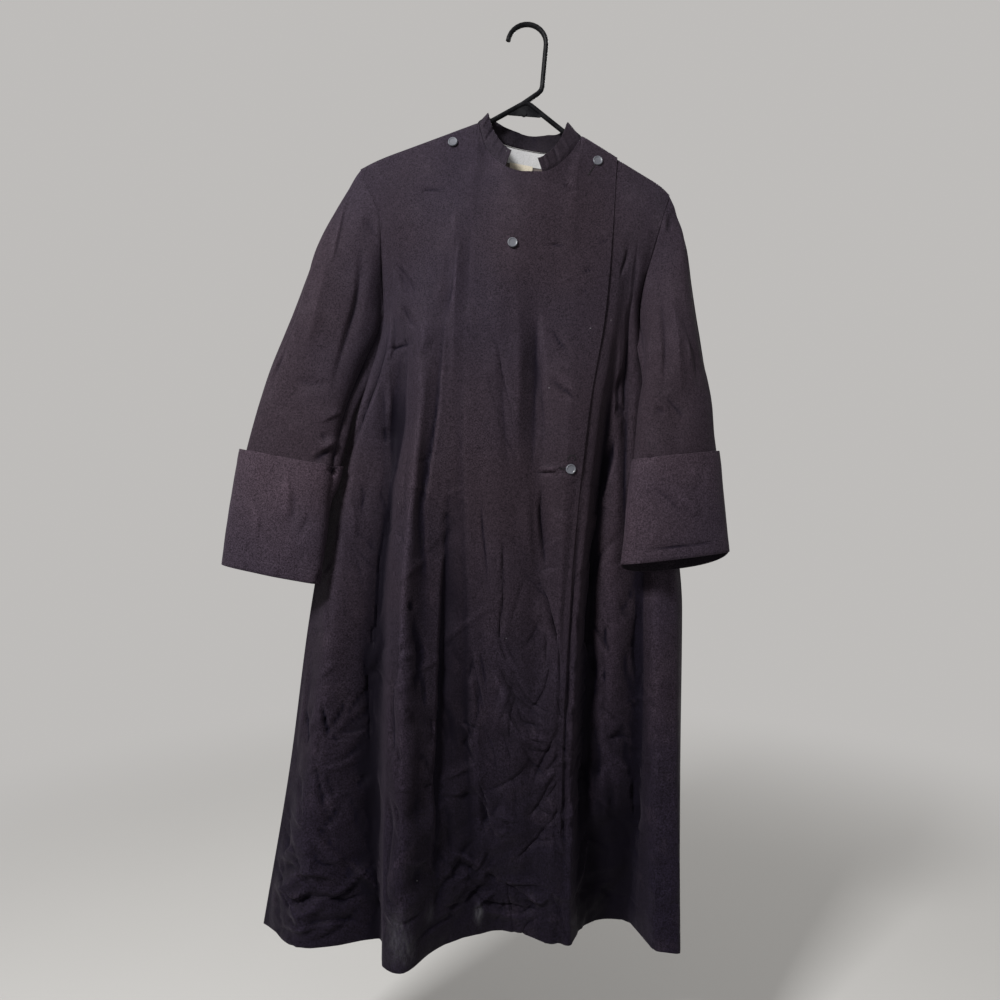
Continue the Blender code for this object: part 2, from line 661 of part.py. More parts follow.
def make_web(name, material):
    """The thin web in the crook under the apex."""
    builder = bmesh.new()
    face = builder.faces.new([
        builder.verts.new((x * MM, -WEB_WALL / 2 * MM, z * MM)) for x, z in HANGER_WEB])
    grown = bmesh.ops.extrude_face_region(builder, geom=[face])
    moved = [item for item in grown["geom"] if isinstance(item, bmesh.types.BMVert)]
    bmesh.ops.translate(builder, verts=moved, vec=(0, WEB_WALL * MM, 0))
    bmesh.ops.recalc_face_normals(builder, faces=builder.faces)
    return add_object(name, builder, material, PLASTIC_SHARP)


def make_boss(name, material):
    builder = bmesh.new()
    x, z = HANGER_BOSS
    place = Matrix.Translation((x * MM, 0, z * MM)) @ Matrix.Rotation(math.pi / 2, 4, "X")
    bmesh.ops.create_cone(builder, cap_ends=True, segments=BOSS_SIDES, radius1=BOSS_RADIUS * MM,
                          radius2=BOSS_RADIUS * MM, depth=BOSS_LENGTH * MM, matrix=place)
    return add_object(name, builder, material, PLASTIC_SHARP)


def make_hanger(plastic):
    """One moulding: the loop, joined to the hook, the web and the boss."""
    loop = sweep(bend(HANGER_LOOP, True), True, "hanger", plastic)
    angles = np.radians(np.linspace(HOOK_START_ANGLE, HOOK_END_ANGLE, HOOK_POINTS))
    arc = np.stack([HOOK_RADIUS * np.cos(angles),
                    HOOK_CENTRE_Z + HOOK_RADIUS * np.sin(angles)], axis=1)
    stem = bend(HANGER_STEM, False)
    parts = (
        sweep(np.concatenate([stem[:-1], arc]), False, "hook_tube", plastic),
        make_web("web_plate", plastic),
        make_boss("boss_pin", plastic),
    )
    for part in parts:
        part.hide_render = True
        part.display_type = "WIRE"
        union = loop.modifiers.new("join_" + part.name, "BOOLEAN")
        union.operation = "UNION"
        union.solver = "EXACT"
        union.object = part


def main():
    clear_scene()
    materials = {name: make_material(name) for name in FINISHES}
    cloth = materials["cassock_cloth"]
    front = make_fronts(cloth)
    back = make_back(cloth)
    make_sleeves(front, back, cloth)
    make_collar(front, back, cloth)
    make_neck_pieces(back, materials["facing_cloth"], materials["label_cloth"], materials["tag_cloth"])
    make_buttons(front, materials["button_plastic"])
    make_hanger(materials["hanger_plastic"])


main()
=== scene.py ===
import math

import bpy
import numpy as np
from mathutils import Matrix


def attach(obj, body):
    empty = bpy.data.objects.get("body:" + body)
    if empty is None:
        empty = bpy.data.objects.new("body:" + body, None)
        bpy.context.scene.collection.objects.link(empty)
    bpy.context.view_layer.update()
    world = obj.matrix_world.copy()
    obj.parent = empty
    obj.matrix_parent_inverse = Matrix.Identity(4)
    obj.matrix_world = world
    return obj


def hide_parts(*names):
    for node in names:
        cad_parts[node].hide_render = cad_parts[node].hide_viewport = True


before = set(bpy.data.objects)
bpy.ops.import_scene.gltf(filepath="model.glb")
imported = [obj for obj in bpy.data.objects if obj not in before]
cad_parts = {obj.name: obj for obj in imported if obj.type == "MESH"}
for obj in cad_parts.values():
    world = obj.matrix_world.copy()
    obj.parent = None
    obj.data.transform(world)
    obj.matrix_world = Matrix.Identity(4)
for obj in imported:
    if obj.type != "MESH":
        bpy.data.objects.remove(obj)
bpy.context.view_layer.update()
mm = 0.001
sharpAngle = math.radians(55)      # edges that turn more than this are drawn sharp

# everything below is in millimetres until a mesh is made


def unitLength(vectors):
    # each vector divided by its own length
    length = np.linalg.norm(vectors, axis=-1, keepdims=True)
    return vectors / np.maximum(length, 1e-9)


def easeStep(value):
    # 3v^2 - 2v^3 between 0 and 1
    value = np.clip(value, 0.0, 1.0)
    return value * value * (3 - 2 * value)


def curveThrough(knots, values, at):
    # cubic through the values at the knots, with the harmonic mean of the slopes on
    # both sides as its tangent, so it never overshoots; works on many curves at once
    knots, values, at = (np.asarray(item, float) for item in (knots, values, at))
    slope = np.diff(values, axis=-2) / np.diff(knots)[..., None]
    before, after = slope[..., :-1, :], slope[..., 1:, :]
    agree = before * after > 0
    middle = np.where(agree, 2 * before * after / np.where(agree, before + after, 1.0), 0.0)
    tangent = np.concatenate([slope[..., :1, :], middle, slope[..., -1:, :]], axis=-2)
    index = np.clip((at[..., None] >= knots[..., None, :]).sum(-1) - 1, 0, knots.shape[-1] - 2)
    start = np.take_along_axis(knots, index, -1)
    width = (np.take_along_axis(knots, index + 1, -1) - start)[..., None]
    t = (at - start)[..., None] / width
    low, high = index[..., None], index[..., None] + 1
    return ((1 + 2 * t) * (1 - t) ** 2 * np.take_along_axis(values, low, -2)
            + t * (1 - t) ** 2 * width * np.take_along_axis(tangent, low, -2)
            + t * t * (3 - 2 * t) * np.take_along_axis(values, high, -2)
            - t * t * (1 - t) * width * np.take_along_axis(tangent, high, -2))


def evenAlong(curve, count):
    # the share of the curve's points at which equal lengths end
    step = np.linalg.norm(np.diff(curve, axis=0), axis=1)
    length = np.concatenate([[0.0], np.cumsum(step)])
    return np.interp(np.linspace(0, length[-1], count), length, np.linspace(0, 1, len(curve)))


def gridNormals(grid, closed=False):
    # cross product of the grid's two directions
    if closed:
        around = np.concatenate([grid[-1:], grid, grid[:1]])
        across = (around[2:] - around[:-2]) / 2
    else:
        across = np.gradient(grid, axis=0)
    return unitLength(np.cross(across, np.gradient(grid, axis=1)))


creaseForm = {
    "wander": 0.8,             # how far a crease strays from its drawn line
    "wanderCell": 34.0,
    "uneven": 0.35,            # how much its width comes and goes
    "unevenCell": 44.0,
    "spread": 1.45,            # widths from its line to its foot
    "lean": 0.3,               # lean of a crease whose row gives none
    "leaning": 2.7,            # how much a lean moves from one side to the other
    "edgeSoftness": (0.7, 0.07),   # rounding of its edge in mm, and as a share of its width
    "footSoftness": 0.14,
    "narrowing": 0.45,         # share of its width that is lost towards its ends
    "hollow": 1.6,             # power that draws the slopes in towards the edge
    "least": 3.2,              # narrowest side in mm
    "steepest": 0.5,           # and the narrowest for each mm of its height
    "gain": (2.5, 0.8),        # factor and power that turn a row's height into mm
    "taper": 0.42,             # share of its length over which an end runs out
    "finer": 4,                # points on the smooth line for each one given
    "reach": 1.5,              # feet of a crease within which the cloth is looked at
}
facetNet = {
    "bend": 16.0,              # how far the net of facets strays from straight lines
    "bendCell": 95.0,
}


def smoothNoise(x, y, cell, seed, cells=64):
    # random heights on a square lattice, eased between its corners, from -1 to 1
    heights = np.random.default_rng(seed).uniform(-1, 1, (cells, cells))
    u, v = x / cell, y / cell
    i, j = np.floor(u).astype(int), np.floor(v).astype(int)
    s, t = easeStep(u - i), easeStep(v - j)
    a, b = heights[i % cells, j % cells], heights[(i + 1) % cells, j % cells]
    c, d = heights[i % cells, (j + 1) % cells], heights[(i + 1) % cells, (j + 1) % cells]
    return (a * (1 - s) + b * s) * (1 - t) + (c * (1 - s) + d * s) * t


def lightLean(height, points):
    # the steep side of a crease is the one turned from the light at the upper left: the
    # sign of the height against the sign of the run's two parts added up
    return -math.copysign(creaseForm["lean"], np.subtract(points[-1], points[0]).sum() * height)


def creaseHeight(x, z, rows):
    # each row is a smooth line through its points with a height and a width: two flat
    # slopes meet in a narrow edge on the line, the steeper one on its leaning side, and
    # both run out to a point at the ends of the line
    form = creaseForm
    bentX = x + form["wander"] * smoothNoise(x, z, form["wanderCell"], 3)
    bentZ = z + form["wander"] * smoothNoise(x, z, form["wanderCell"], 4)
    uneven = 1 + form["uneven"] * smoothNoise(x, z, form["unevenCell"], 5)
    foot = form["footSoftness"]
    total = np.zeros_like(x)
    for height, width, *points in rows:
        lean = points.pop(0) if np.isscalar(points[0]) else lightLean(height, points)
        points = np.array(points, float)
        walk = np.concatenate([[0.0], np.cumsum(np.hypot(*np.diff(points, axis=0).T))])
        if len(points) > 2:
            at = np.linspace(0, walk[-1], form["finer"] * len(points))
            points = curveThrough(walk, points, at)
        reach = form["reach"] * width * (form["spread"] + form["leaning"] * abs(lean))
        low, high = points.min(0) - reach, points.max(0) + reach
        near = (bentX > low[0]) & (bentX < high[0]) & (bentZ > low[1]) & (bentZ < high[1])
        if not near.any():
            continue
        px, pz = bentX[near], bentZ[near]
        best = np.full(px.shape, 1e9)
        signed = np.zeros_like(px)
        along = np.zeros_like(px)
        walked = 0.0
        for a, b in zip(points[:-1], points[1:]):
            run = b - a
            length = np.hypot(*run)
            t = np.clip(((px - a[0]) * run[0] + (pz - a[1]) * run[1]) / length ** 2, 0, 1)
            dx, dz = px - a[0] - t * run[0], pz - a[1] - t * run[1]
            distance = np.hypot(dx, dz)
            closer = distance < best
            best = np.where(closer, distance, best)
            signed = np.where(closer, (dx * run[1] - dz * run[0]) / length, signed)
            along = np.where(closer, walked + t * length, along)
            walked += length
        end = easeStep(np.minimum(along, walked - along) / (form["taper"] * walked))
        soft = form["edgeSoftness"][0] + form["edgeSoftness"][1] * width
        wide = width * uneven[near] * (1 - form["narrowing"] * (1 - end))
        wide = wide * (form["spread"] + form["leaning"] * lean * np.tanh(signed / soft))
        deep = math.copysign(form["gain"][0] * abs(height) ** form["gain"][1], height)
        wide = np.maximum(wide, max(form["least"], form["steepest"] * abs(deep)))
        slope = 1 - (np.sqrt(best ** 2 + soft ** 2) - soft) / wide
        slope = np.where(slope > foot, slope, np.maximum(slope + foot, 0.0) ** 2 / (4 * foot))
        total[near] += deep * slope ** form["hollow"] * end
    return total


def facetHeight(x, z, layers, seed):
    # flat facets: over a slanting net of long cells, each cut along its diagonal, every
    # triangle is the plane through random heights at its corners; the net bends slowly
    net = facetNet
    total = np.zeros_like(x)
    for k, (slope, along, across, height) in enumerate(layers):
        bentX = x + net["bend"] * smoothNoise(x, z, net["bendCell"], seed + 10 * k)
        bentZ = z + net["bend"] * smoothNoise(x, z, net["bendCell"], seed + 10 * k + 1)
        turn = math.radians(slope)
        a = (bentX * math.cos(turn) + bentZ * math.sin(turn)) / along
        b = (bentZ * math.cos(turn) - bentX * math.sin(turn)) / across
        a, b = a - a.min(), b - b.min()
        size = (int(a.max()) + 2, int(b.max()) + 2)
        corner = np.random.default_rng(seed + 10 * k).uniform(-1, 1, size)
        i, j = a.astype(int), b.astype(int)
        a, b = a - i, b - j
        near, far = corner[i, j], corner[i + 1, j + 1]
        beside, below = corner[i + 1, j], corner[i, j + 1]
        first = near + a * (beside - near) + b * (below - near)
        second = far + (1 - a) * (below - far) + (1 - b) * (beside - far)
        total += height * np.where(a + b < 1, first, second)
    return total


def addMesh(name, points, faces, maps=(), tones=()):
    # points in millimetres, faces as corner numbers; smooth but for its sharp edges
    mesh = bpy.data.meshes.new(name)
    mesh.from_pydata((points * mm).tolist(), [], [tuple(face) for face in faces])
    corner = np.zeros(len(mesh.loops), np.int32)
    mesh.loops.foreach_get("vertex_index", corner)
    for label, spots in maps:
        layer = mesh.uv_layers.new(name=label)
        layer.data.foreach_set("uv", (spots[corner] * mm).astype(np.float32).ravel())
    for label, values in tones:
        tone = mesh.attributes.new(label, "FLOAT", "POINT")
        tone.data.foreach_set("value", values.astype(np.float32))
    mesh.shade_smooth()
    mesh.set_sharp_from_angle(angle=sharpAngle)
    item = bpy.data.objects.new(name, mesh)
    bpy.context.scene.collection.objects.link(item)
    return item


def blurAlong(grid, reach, axis, closed):
    # mean over the neighbours within reach, from a running sum; the ends are repeated
    width = [(0, 0)] * grid.ndim
    width[axis] = (reach + 1, reach)
    padded = np.cumsum(np.pad(grid, width, mode="wrap" if closed else "edge"), axis=axis)
    size = grid.shape[axis]
    upper = np.take(padded, np.arange(2 * reach + 1, 2 * reach + 1 + size), axis)
    lower = np.take(padded, np.arange(size), axis)
    return (upper - lower) / (2 * reach + 1)


def standOff(grid, closed, reaches):
    # how far the surface stands off its own average over squares of some sizes
    normals = gridNormals(grid, closed)
    total = np.zeros(grid.shape[:2])
    for reach, share in reaches:
        mean = blurAlong(blurAlong(grid, reach, 1, False), reach, 0, closed)
        apart = np.sum((grid - mean) * normals, axis=-1)
        total += share * (apart - np.median(apart))
    return total


shellForm = {
    "rimRise": 0.7,            # how far the rim stands out, in half thicknesses
    "clearing": 2,             # squares round a point whose troughs the inner skin clears
    "mostCleared": 6.0,
    # attribute for the painted fold shade and highlight: reach in squares and share of each average that
    # the cloth stands off from
    "tones": {
        "foldHeight": ((1, 2.4), (3, 0.7), (8, 0.3)),
        "recess": ((26, 1.0),),
    },
}


def innerSkin(outer, inner, closed):
    # every second point of the inner skin, pushed back past the deepest of the outer
    # skin's points round it
    columns, rows = outer.shape[:2]
    reach = shellForm["clearing"]
    behind = unitLength(inner - outer)
    deeper = np.zeros(outer.shape[:2])
    wide = np.pad(outer, ((reach, reach), (0, 0), (0, 0)), mode="wrap" if closed else "edge")
    wide = np.pad(wide, ((0, 0), (reach, reach), (0, 0)), mode="edge")
    for i in range(2 * reach + 1):
        for j in range(2 * reach + 1):
            beside = wide[i:i + columns, j:j + rows]
            deeper = np.maximum(deeper, np.sum((beside - outer) * behind, axis=-1))
    cleared = np.minimum(deeper, shellForm["mostCleared"])[..., None]
    return (inner + behind * cleared)[::2, ::2]


def shellFaces(columns, rows, backShape, closed):
    # the squares of both skins, and strips that join them through the two rim lines
    number = np.arange(columns * rows).reshape(columns, rows)
    back = columns * rows + np.arange(backShape[0] * backShape[1]).reshape(backShape)
    topRow = columns * rows + back.size + np.arange(columns)
    hemRow = topRow + columns

    def follow(count):
        # each place along a line of points and the place after it
        first = np.arange(count if closed else count - 1)
        return first, (first + 1) % count

    def faces(*corners):
        # one face for each place in the corners' arrays
        return np.stack(corners, axis=-1).reshape(-1, len(corners))

    def rim(fine, few, turned):
        # a strip of five-cornered faces between a line of points and every second one
        a, b = follow(len(few))
        strip = faces(fine[2 * a], fine[2 * a + 1], fine[(2 * a + 2) % len(fine)], few[b], few[a])
        return strip[:, ::-1] if turned else strip

    left, right = follow(columns)
    fewLeft, fewRight = follow(len(back))
    made = [faces(number[left, :-1], number[right, :-1], number[right, 1:], number[left, 1:]),
            faces(back[fewRight, :-1], back[fewLeft, :-1], back[fewLeft, 1:], back[fewRight, 1:]),
            faces(number[right, 0], number[left, 0], topRow[left], topRow[right]),
            faces(number[left, -1], number[right, -1], hemRow[right], hemRow[left]),
            rim(topRow, back[:, 0], True), rim(hemRow, back[:, -1], False)]
    if not closed:
        for column, turned in ((0, False), (-1, True)):
            out, few = number[column], back[column]
            ends = np.array([[out[0], few[0], topRow[column]], [few[-1], out[-1], hemRow[column]]])
            made += [rim(out, few, turned), ends[:, ::-1] if turned else ends]
    return made


def shellMaps(outer):
    # the cloth unrolled, in mm from its top left corner and from its bottom right one
    rows = outer.shape[1]
    across = np.linalg.norm(np.diff(outer[:, rows // 2], axis=0), axis=-1)
    down = np.linalg.norm(np.diff(outer, axis=1), axis=-1)
    u = np.concatenate([[0.0], np.cumsum(across)])[:, None] * np.ones((1, rows))
    v = -np.concatenate([np.zeros((len(outer), 1)), np.cumsum(down, axis=1)], axis=1)
    maps = []
    for label, flat in (("clothMap", np.stack([u, v], axis=-1)),
                        ("edgeMap", np.stack([u[-1:] - u, v - v[:, -1:]], axis=-1))):
        maps.append((label, np.concatenate([flat.reshape(-1, 2), flat[::2, ::2].reshape(-1, 2),
                                            flat[:, 0], flat[:, -1]])))
    return maps


def shellTones(outer, inner, closed):
    # how far each point stands off, outwards; on the wrong side every fold is a trough, so the inner skin
    # gets painted shade throughout
    tones = []
    for label, reaches in shellForm["tones"].items():
        tone = standOff(outer, closed, reaches)
        tone = tone if np.sum((outer - inner) * gridNormals(outer, closed)) > 0 else -tone
        under = -np.abs(tone[::2, ::2])
        tones.append((label, np.concatenate([tone.ravel(), under.ravel(), tone[:, 0], tone[:, -1]])))
    return tones


def clothShell(name, outer, inner, closed=False):
    # two skins, the inner one on every second point of the outer one's grid, joined by a
    # rim that stands out a little in its middle
    columns, rows = outer.shape[:2]
    middle = (outer + inner) / 2
    half = np.linalg.norm(outer - inner, axis=-1, keepdims=True) / 2
    rise = shellForm["rimRise"]
    top = middle[:, 0] + unitLength(outer[:, 0] - outer[:, 1]) * half[:, 0] * rise
    hem = middle[:, -1] + unitLength(outer[:, -1] - outer[:, -2]) * half[:, -1] * rise
    coarse = innerSkin(outer, inner, closed)
    points = np.concatenate([outer.reshape(-1, 3), coarse.reshape(-1, 3), top, hem])
    blocks = shellFaces(columns, rows, coarse.shape[:2], closed)
    faces = [face for block in blocks for face in block.tolist()]
    item = addMesh(name, points, faces, shellMaps(outer), shellTones(outer, inner, closed))
    wrong = np.zeros(len(faces), np.int32)         # the wrong side takes the second finish, a darker one: painted shade of the garment's inside
    wrong[len(blocks[0]):len(blocks[0]) + len(blocks[1])] = 1
    item.data.polygons.foreach_set("material_index", wrong)
    if signedVolume(item.data) < 0:
        item.data.flip_normals()
    return item


def signedVolume(mesh):
    # sum of the tetrahedra between the origin and each triangle
    mesh.calc_loop_triangles()
    corner = np.zeros(len(mesh.loop_triangles) * 3, np.int32)
    mesh.loop_triangles.foreach_get("vertices", corner)
    place = np.zeros(len(mesh.vertices) * 3, np.float32)
    mesh.vertices.foreach_get("co", place)
    a, b, c = place.reshape(-1, 3)[corner].reshape(-1, 3, 3).astype(float).transpose(1, 0, 2)
    return float(np.einsum("ij,ij->i", a, np.cross(b, c)).sum()) / 6


# front and back: one row for each fold line, from the wearer's right side seam to
# the left: name, (x, y, z, roll) at the top edge, x at bust, underarm, rib, hip, knee
# and hem, y at the same places, height of the hem
bodyCut = {
    "wall": 1.1,               # thickness of the cloth as it is shown
    "spacing": 2.75,           # size of the mesh's squares on the fronts
    "backSpacing": 3.2,
    "shoulderRoll": 6.2,       # how far the shoulder rounds over to the front and back
    "rollFade": 100.0,         # depth at which that rounding has died away
    "rollRows": 7,
    "measuring": 400,          # points by which a curve's length is measured
    "neckSoftening": 7,        # squares over which the folds below the neck are evened out
    "softTop": (10.0, 30.0),   # that starts at this depth and is full this much lower
    "softEnd": (470.0, 120.0),     # and it ends above this height, over this much
    "liftOver": 1.5,           # fold lines over which the overlap comes up to its lift
    "underStart": (4.0, 6.0),  # the underlap's own creases start this far before the closing edge
    "creaseTop": 16.0,         # depth at which the creases are full
    "creaseSide": 22.0,        # and the distance from a side seam
    "steepWall": (0.22, 0.45),     # they stay off walls that face forward less than this
    "seamGap": 0.3,
    "overlapLift": 2.4,        # the overlap lies this far off the underlap
    "overlapHemRise": 24.0,    # its hem is this much shorter at the closing edge
    "levels": (-330.0, -470.0, -640.0, -950.0, -1200.0),
    "underarm": {"right": -465.0, "left": -482.0},
    "front": (
        ("sideRight", (-270, 0, -232, 1), (-235, -233, -292, -352, -385, -428),
         (-20, 0, 0, 0, 0, 0), -1456),
        ("flank", (-248, 0, -220.5, 1), (-219, -217, -258, -305, -330, -345),
         (-26, -16, -21, -38, -50, -64), -1457),
        ("valleyRight", (-226, 0, -211, 1), (-203, -203, -217, -243, -247, -234),
         (-28, -26, -21, -24, -30, -38), -1458),
        ("pipeRight", (-200, 0, -201.4, 1), (-187, -188, -195, -210, -214, -219),
         (-30, -34, -40, -66, -86, -98), -1463),
        ("pipeFront", (-174, 0, -191.8, 1), (-164, -163, -169, -190, -190, -190),
         (-31, -40, -54, -88, -104, -115), -1464),
        ("pipeLeft", (-140, 0, -179.2, 1), (-134, -141, -152, -161, -150, -148),
         (-33, -43, -48, -58, -66, -66), -1463),
        ("neckRight", (-80, 0, -157, 1), (-98, -102, -109, -101, -95, -88),
         (-35, -46, -45, -36, -28, -24), -1462),
        ("neckFrontRight", (-78.5, -7.2, -162, 0), (-91, -93, -97, -90, -86, -76),
         (-36, -48, -48, -39, -29, -19), -1462),
        ("slopeRight", (-68, -13, -200, 0), (-79, -78, -81, -74, -72, -58),
         (-38, -50, -52, -42, -30, -12), -1461),
        ("endRight", (-36, -30, -240, 0), (-50, -52, -54, -48, -47, -34),
         (-42, -52, -55, -48, -38, -9), -1462),
        ("centre", (-6, -31, -249, 0), (-22, -22, -21, -16, -18, -13),
         (-43, -50, -52, -44, -40, -12), -1464),
        ("endLeft", (24, -30, -249, 0), (6, 9, 13, 16, 8, 7),
         (-42, -44, -44, -36, -34, -18), -1466),
        ("slopeLeft", (62, -18, -222, 0), (44, 47, 42, 34, 26, 24),
         (-38, -42, -49, -44, -37, -26), -1467),
        ("neckFrontLeft", (86, -7.2, -186, 0), (71, 70, 57, 44, 34, 32),
         (-32, -41, -51, -48, -40, -30), -1468),
        ("neckLeft", (89, 0, -181, 1), (79, 79, 64, 49, 39, 37),
         (-30, -40, -52, -50, -42, -32), -1468),
        ("closing", (145, 0, -215.2, 1), (136, 122, 93, 64, 53, 50),
         (-22, -34, -49, -50, -44, -32), -1469),
        ("strip", (160, 0, -224.3, 1), (153, 138, 110, 78, 67, 63),
         (-22, -31, -44, -46, -42, -35), -1470),
        ("valleyDeep", (174, 0, -232.9, 1), (165, 152, 131, 103, 96, 92),
         (-22, -22, -17, -2, 10, 14), -1470),
        ("panelLeft", (187, 0, -240.8, 1), (176, 160, 152, 135, 134, 132),
         (-22, -19, -20, -18, 0, 36), -1469),
        ("valleyLeft", (198, 0, -247.5, 1), (185, 167, 171, 180, 181, 165),
         (-22, -18, -17, -4, 10, 30), -1469),
        ("riseLeft", (207, 0, -253, 1), (193, 171, 179, 192, 190, 184),
         (-21, -16, -15, -14, -10, -14), -1470),
        ("crestLeft", (215, 0, -258.5, 1), (200, 175, 188, 207, 204, 200),
         (-20, -12, -13, -26, -34, -52), -1472),
        ("edgeLeft", (223, 0, -265.5, 1), (206, 179, 198, 237, 236, 233),
         (-19, -7, -8, -18, -30, -52), -1474),
        ("sideLeft", (231, 0, -274, 1), (212, 182, 207, 253, 251, 250),
         (-18, 0, 1, 4, 8, 10), -1476),
    ),
    "back": (
        ("sideRight", (-270, 0, -232, 1), (-235, -233, -292, -352, -385, -428),
         (18, 0, 0, 0, 0, 0), -1456),
        ("bladeRight", (-226, 0, -211, 1), (-212, -208, -244, -312, -348, -372),
         (24, 20, 23, 22, 24, 30), -1457),
        ("foldRight", (-140, 0, -179.2, 1), (-150, -160, -173, -215, -235, -250),
         (30, 30, 35, 36, 40, 42), -1459),
        ("neckRight", (-80, 0, -157, 1), (-88, -96, -105, -128, -138, -144),
         (31, 30, 30, 28, 26, 26), -1461),
        ("neckBackRight", (-78.5, 7.2, -161, 0), (-82, -88, -96, -116, -126, -130),
         (31, 30, 31, 31, 32, 33), -1461),
        ("napeRight", (-52, 20, -177, 0), (-56, -60, -64, -76, -84, -88),
         (32, 31, 33, 38, 42, 43), -1462),
        ("centre", (4, 29, -189, 0), (0, -2, -5, -12, -18, -22),
         (33, 30, 31, 34, 34, 34), -1464),
        ("napeLeft", (60, 20, -198, 0), (58, 56, 52, 44, 40, 38),
         (32, 30, 29, 24, 22, 24), -1467),
        ("neckBackLeft", (86.5, 7.2, -185, 0), (80, 76, 75, 72, 70, 70),
         (30, 29, 31, 34, 38, 38), -1468),
        ("neckLeft", (89, 0, -181, 1), (88, 84, 84, 84, 82, 82),
         (30, 29, 32, 38, 42, 44), -1469),
        ("foldLeft", (145, 0, -215.2, 1), (136, 122, 129, 146, 146, 146),
         (28, 27, 29, 30, 32, 46), -1471),
        ("bladeLeft", (198, 0, -247.5, 1), (184, 162, 175, 208, 208, 208),
         (22, 20, 22, 28, 32, 42), -1474),
        ("sideLeft", (231, 0, -274, 1), (212, 182, 207, 253, 251, 250),
         (16, 0, 1, 4, 8, 10), -1476),
    ),
}


def lineNumber(name, lines):
    # the place of a fold line among the lines
    return [row[0] for row in lines].index(name)


def shoulderBulge(down):
    # a quarter circle over the roll's depth, which dies away further down
    roll = bodyCut["shoulderRoll"]
    turn = np.clip(down / roll, 0.0, 1.0)
    return roll * np.sqrt(1 - (1 - turn) ** 2) * (1 - easeStep(down / bodyCut["rollFade"]))


def bodyGrid(lines, facing, spacing, first=0.0, last=None, hemRise=None):
    # smooth curves through the fold lines' places, down every line and then across
    # them; the top edge rolls over the shoulder on a quarter circle
    cut = bodyCut
    places = np.arange(len(lines))
    last = places[-1] if last is None else last
    trial = np.linspace(first, last, cut["measuring"])
    middle = curveThrough(places, [(row[2][2], row[3][2]) for row in lines], trial)
    count = int(np.linalg.norm(np.diff(middle, axis=0), axis=1).sum() / spacing) // 2 * 2 + 1
    fold = first + (last - first) * evenAlong(middle, count)
    top = curveThrough(places, [row[1] for row in lines], fold)
    across = curveThrough(places, [row[2] for row in lines], fold)
    depth = curveThrough(places, [row[3] for row in lines], fold)
    hem = curveThrough(places, [[row[4]] for row in lines], fold)
    rise = np.zeros(len(fold)) if hemRise is None else hemRise(fold)
    roll = cut["shoulderRoll"] * (1 - np.cos(np.linspace(0, math.pi / 2, cut["rollRows"])))
    topZ = top[:, 2:3]
    rows = int((topZ.max() - hem.min()) / spacing) // 2 * 2 + 1
    below = topZ - roll[-1]
    share = np.linspace(0, 1, rows)[None, 1:]
    z = np.concatenate([topZ - roll, below + (hem + rise[:, None] - below) * share], axis=1)
    levels = np.ones((len(fold), 1)) * np.array(cut["levels"])
    knots = -np.concatenate([topZ, levels, hem], axis=1)
    values = np.stack([np.concatenate([top[:, :1], across], axis=1),
                       np.concatenate([top[:, 1:2], depth], axis=1)], axis=-1)
    place = curveThrough(knots, values, -z)
    down = topZ - z
    y = place[..., 1] + facing * top[:, 3:4] * shoulderBulge(down)
    (start, full), (end, fading) = cut["softTop"], cut["softEnd"]
    soft = easeStep((down - start) / full) * easeStep((z + end) / fading)
    y = y * (1 - soft) + blurAlong(y, cut["neckSoftening"], 0, False) * soft
    return {"points": np.stack([place[..., 0], y, z], axis=-1), "fold": fold, "roll": top[:, 3],
            "down": down, "facing": facing}


def bodyNormals(body, seams):
    # outward normals, turned at the seams so that neighbours end face to face
    points = body["points"]
    normals = gridNormals(points) * body["facing"]
    weight = body["roll"][:, None]
    normals[:, 0] = unitLength(normals[:, 0] * (1 - weight) + np.array([0.0, 0.0, 1.0]) * weight)
    for column, outward in seams:
        side = "right" if outward < 0 else "left"
        above = points[column, :, 2] > bodyCut["underarm"][side]
        edge = normals[column].copy()
        edge[:, 0] = np.maximum(edge[:, 0] * outward, 0.0) * outward
        normals[column] = np.where(above[:, None], unitLength(edge), (outward, 0.0, 0.0))
    return normals


def seamFade(body, seams):
    # creases die away towards the top edge and the side seams, so that seams stay shut
    points = body["points"]
    fade = easeStep(body["down"] / bodyCut["creaseTop"])
    for column, _ in seams:
        away = np.abs(points[..., 0] - points[column, :, 0][None, :])
        fade = fade * easeStep(away / bodyCut["creaseSide"])
    return fade


